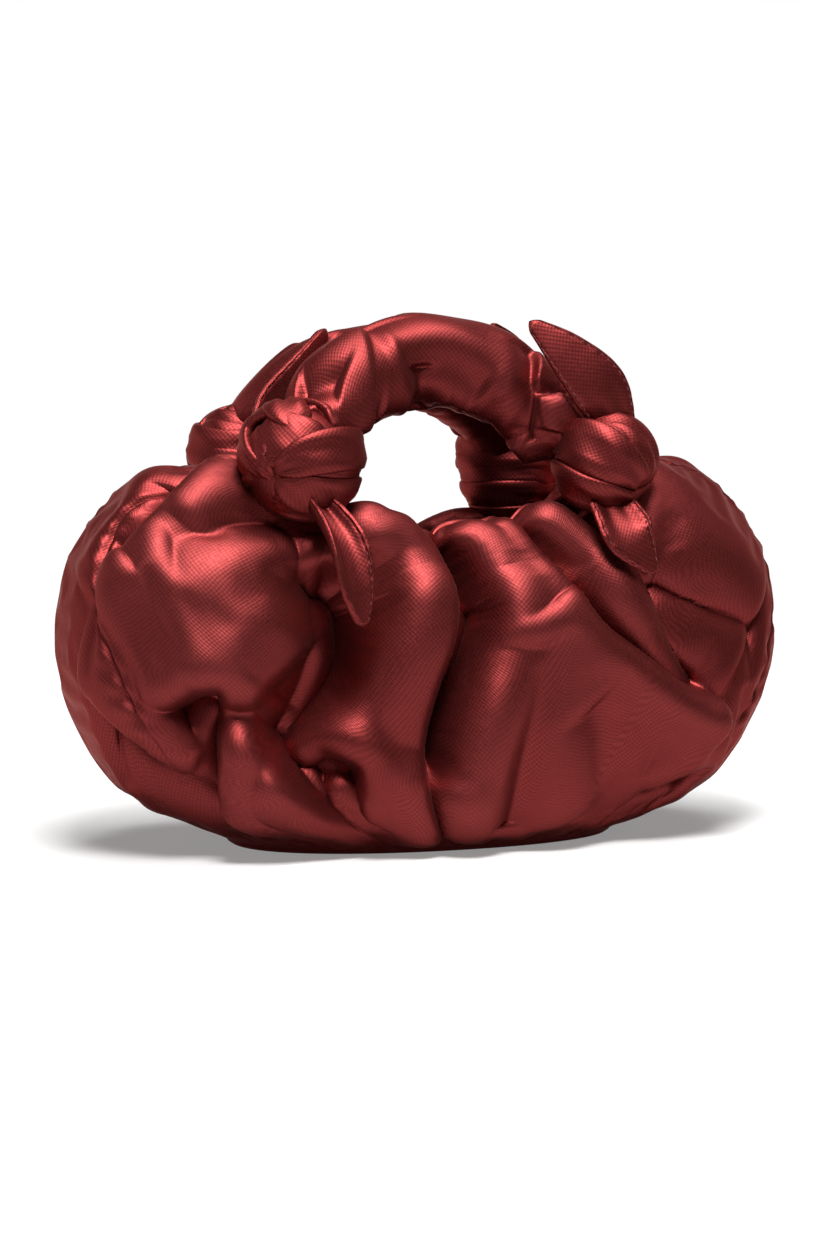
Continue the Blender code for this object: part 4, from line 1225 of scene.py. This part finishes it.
def tail_stitches(points, length):
    """Stitches in the groove along both edges of a tail, on its facing side, a stitch pitch apart."""
    turn = ring(TAIL_SIDES)
    count = int(length * 0.86 / STITCH_PITCH)
    at = np.linspace(0.10, 0.955, count) * TAIL_STEPS
    found = []
    groove = TAIL_GROOVE ** (1 / TAIL_SQUARE)
    for side in (groove, -groove):
        column = int(np.abs(turn - math.acos(side)).argmin())
        line = points[:, column]
        out = unit(points[:, column] - points[:, (TAIL_SIDES - column) % TAIL_SIDES])
        i = np.minimum(at.astype(int), TAIL_STEPS - 1)
        t = (at - i)[:, None]
        place = line[i] * (1 - t) + line[i + 1] * t
        facing = unit(out[i] * (1 - t) + out[i + 1] * t)
        found.append(stitch_parts(place + facing * 0.05 * MM, line[i + 1] - line[i], facing))
    return found


class HANDBAG_OT_stage(bpy.types.Operator):
    """Set the white floor, the soft lamps and the camera"""

    bl_idname = "handbag.stage"
    bl_label = "Stage"

    def execute(self, context):
        scene, stage = context.scene, context.scene.handbag_stage
        level, away = math.cos(stage.elevation), stage.distance
        toward_eye = Vector(
            (math.sin(stage.azimuth) * level, -math.cos(stage.azimuth) * level, math.sin(stage.elevation))
        )
        middle = Vector((0, 0, CAMERA_AIM))
        camera = bpy.data.objects.new("camera", bpy.data.cameras.new("camera"))
        camera.location = middle + toward_eye * away
        camera.rotation_euler = (-toward_eye).to_track_quat("-Z", "Y").to_euler()
        camera.data.sensor_width = SENSOR_WIDTH
        camera.data.lens = SENSOR_WIDTH * away / stage.frame_height
        scene.collection.objects.link(camera)
        scene.camera = camera

        mesh = bpy.data.meshes.new("floor")
        mesh.from_pydata([(-6, -6, 0), (6, -6, 0), (6, 6, 0), (-6, 6, 0)], [], [(0, 1, 2, 3)])
        floor = bpy.data.objects.new("floor", mesh)
        scene.collection.objects.link(floor)
        material = bpy.data.materials.new("white floor")
        n = Nodes(material)
        n.fill({"Roughness": 0.9, "Specular IOR Level": 0.1, "Emission Color": (1, 1, 1, 1)})
        path = n.add("ShaderNodeLightPath")
        place = n.add("ShaderNodeTexCoord").outputs["Object"]
        behind = n.range(n.add("ShaderNodeSeparateXYZ", {0: place}).outputs[1], -0.1, 0.25, 0.15, 1)
        glossy = n.math("MULTIPLY", path.outputs["Is Glossy Ray"], behind)
        seen = n.math("MAXIMUM", path.outputs["Is Camera Ray"], glossy)
        seen = n.math("MAXIMUM", seen, path.outputs["Is Transmission Ray"])
        far = n.add("ShaderNodeVectorMath", {0: place}, operation="LENGTH").outputs["Value"]
        white = n.range(far, 0.16, 0.42, 0.26, 1)
        n.into("Emission Strength", n.math("MULTIPLY", white, seen))
        pale, dim = (0.62, 0.615, 0.61, 1), (0.15, 0.15, 0.15, 1)
        n.into("Base Color", n.mix(n.range(far, 0.2, 0.45, 0, 1), pale, dim))
        mesh.materials.append(material)

        world = bpy.data.worlds.new("white room")
        w = Nodes(world, "Background")
        path = w.add("ShaderNodeLightPath")
        way = w.add("ShaderNodeSeparateXYZ", {0: w.add("ShaderNodeTexCoord").outputs["Generated"]})
        ahead, low = w.range(way.outputs[1], 0, 0.35, 0, 1), w.range(way.outputs[2], 0.3, 0.6, 1, 0)
        sweep = w.math("MULTIPLY", ahead, low)
        seen = w.math("MAXIMUM", path.outputs["Is Camera Ray"], path.outputs["Is Transmission Ray"])
        seen = w.math("MAXIMUM", seen, w.math("MULTIPLY", path.outputs["Is Glossy Ray"], sweep))
        w.into("Strength", w.range(seen, 0, 1, stage.room_light, 1))
        w.fill({"Color": (1, 1, 1, 1)})
        scene.world = world

        for name, place, size, power in LAMPS:
            lamp = bpy.data.lights.new(name, "AREA")
            lamp.size, lamp.energy = size, getattr(stage, power)
            obj = bpy.data.objects.new(name, lamp)
            obj.location = place
            aim = Vector((0, 0, LAMP_AIM)) - Vector(place)
            obj.rotation_euler = aim.to_track_quat("-Z", "Y").to_euler()
            scene.collection.objects.link(obj)
        scene.view_settings.view_transform = "Standard"
        return {"FINISHED"}


class HANDBAG_PT_panel(bpy.types.Panel):
    """Lists the handbag's pieces and their sizes"""

    bl_idname = "HANDBAG_PT_panel"
    bl_label = "Gathered Satin Handbag"
    bl_space_type = "VIEW_3D"
    bl_region_type = "UI"
    bl_category = "Handbag"

    def draw(self, context):
        for group in (context.scene.handbag_cloth, context.scene.handbag_stage):
            box = self.layout.box()
            for name in group.__annotations__:
                box.prop(group, name)
        for operator in OPERATORS:
            self.layout.operator(operator.bl_idname)


OPERATORS = (
    HANDBAG_OT_pouch,
    HANDBAG_OT_base,
    HANDBAG_OT_lining,
    HANDBAG_OT_handles,
    HANDBAG_OT_knots,
    HANDBAG_OT_tails,
    HANDBAG_OT_stage,
)
CLASSES = (HandbagCloth, HandbagStage, *OPERATORS, HANDBAG_PT_panel)


def register():
    """Registers the classes and hangs the sizes on the scene."""
    for each in CLASSES:
        bpy.utils.register_class(each)
    bpy.types.Scene.handbag_cloth = PointerProperty(type=HandbagCloth)
    bpy.types.Scene.handbag_stage = PointerProperty(type=HandbagStage)


def unregister():
    """Takes the sizes off the scene and unregisters the classes."""
    del bpy.types.Scene.handbag_stage
    del bpy.types.Scene.handbag_cloth
    for each in reversed(CLASSES):
        bpy.utils.unregister_class(each)


def main():
    register()
    bpy.ops.handbag.pouch()
    bpy.ops.handbag.base()
    bpy.ops.handbag.lining()
    bpy.ops.handbag.handles()
    bpy.ops.handbag.knots()
    bpy.ops.handbag.tails()
    bpy.ops.handbag.stage()


if __name__ == "__main__":
    main()
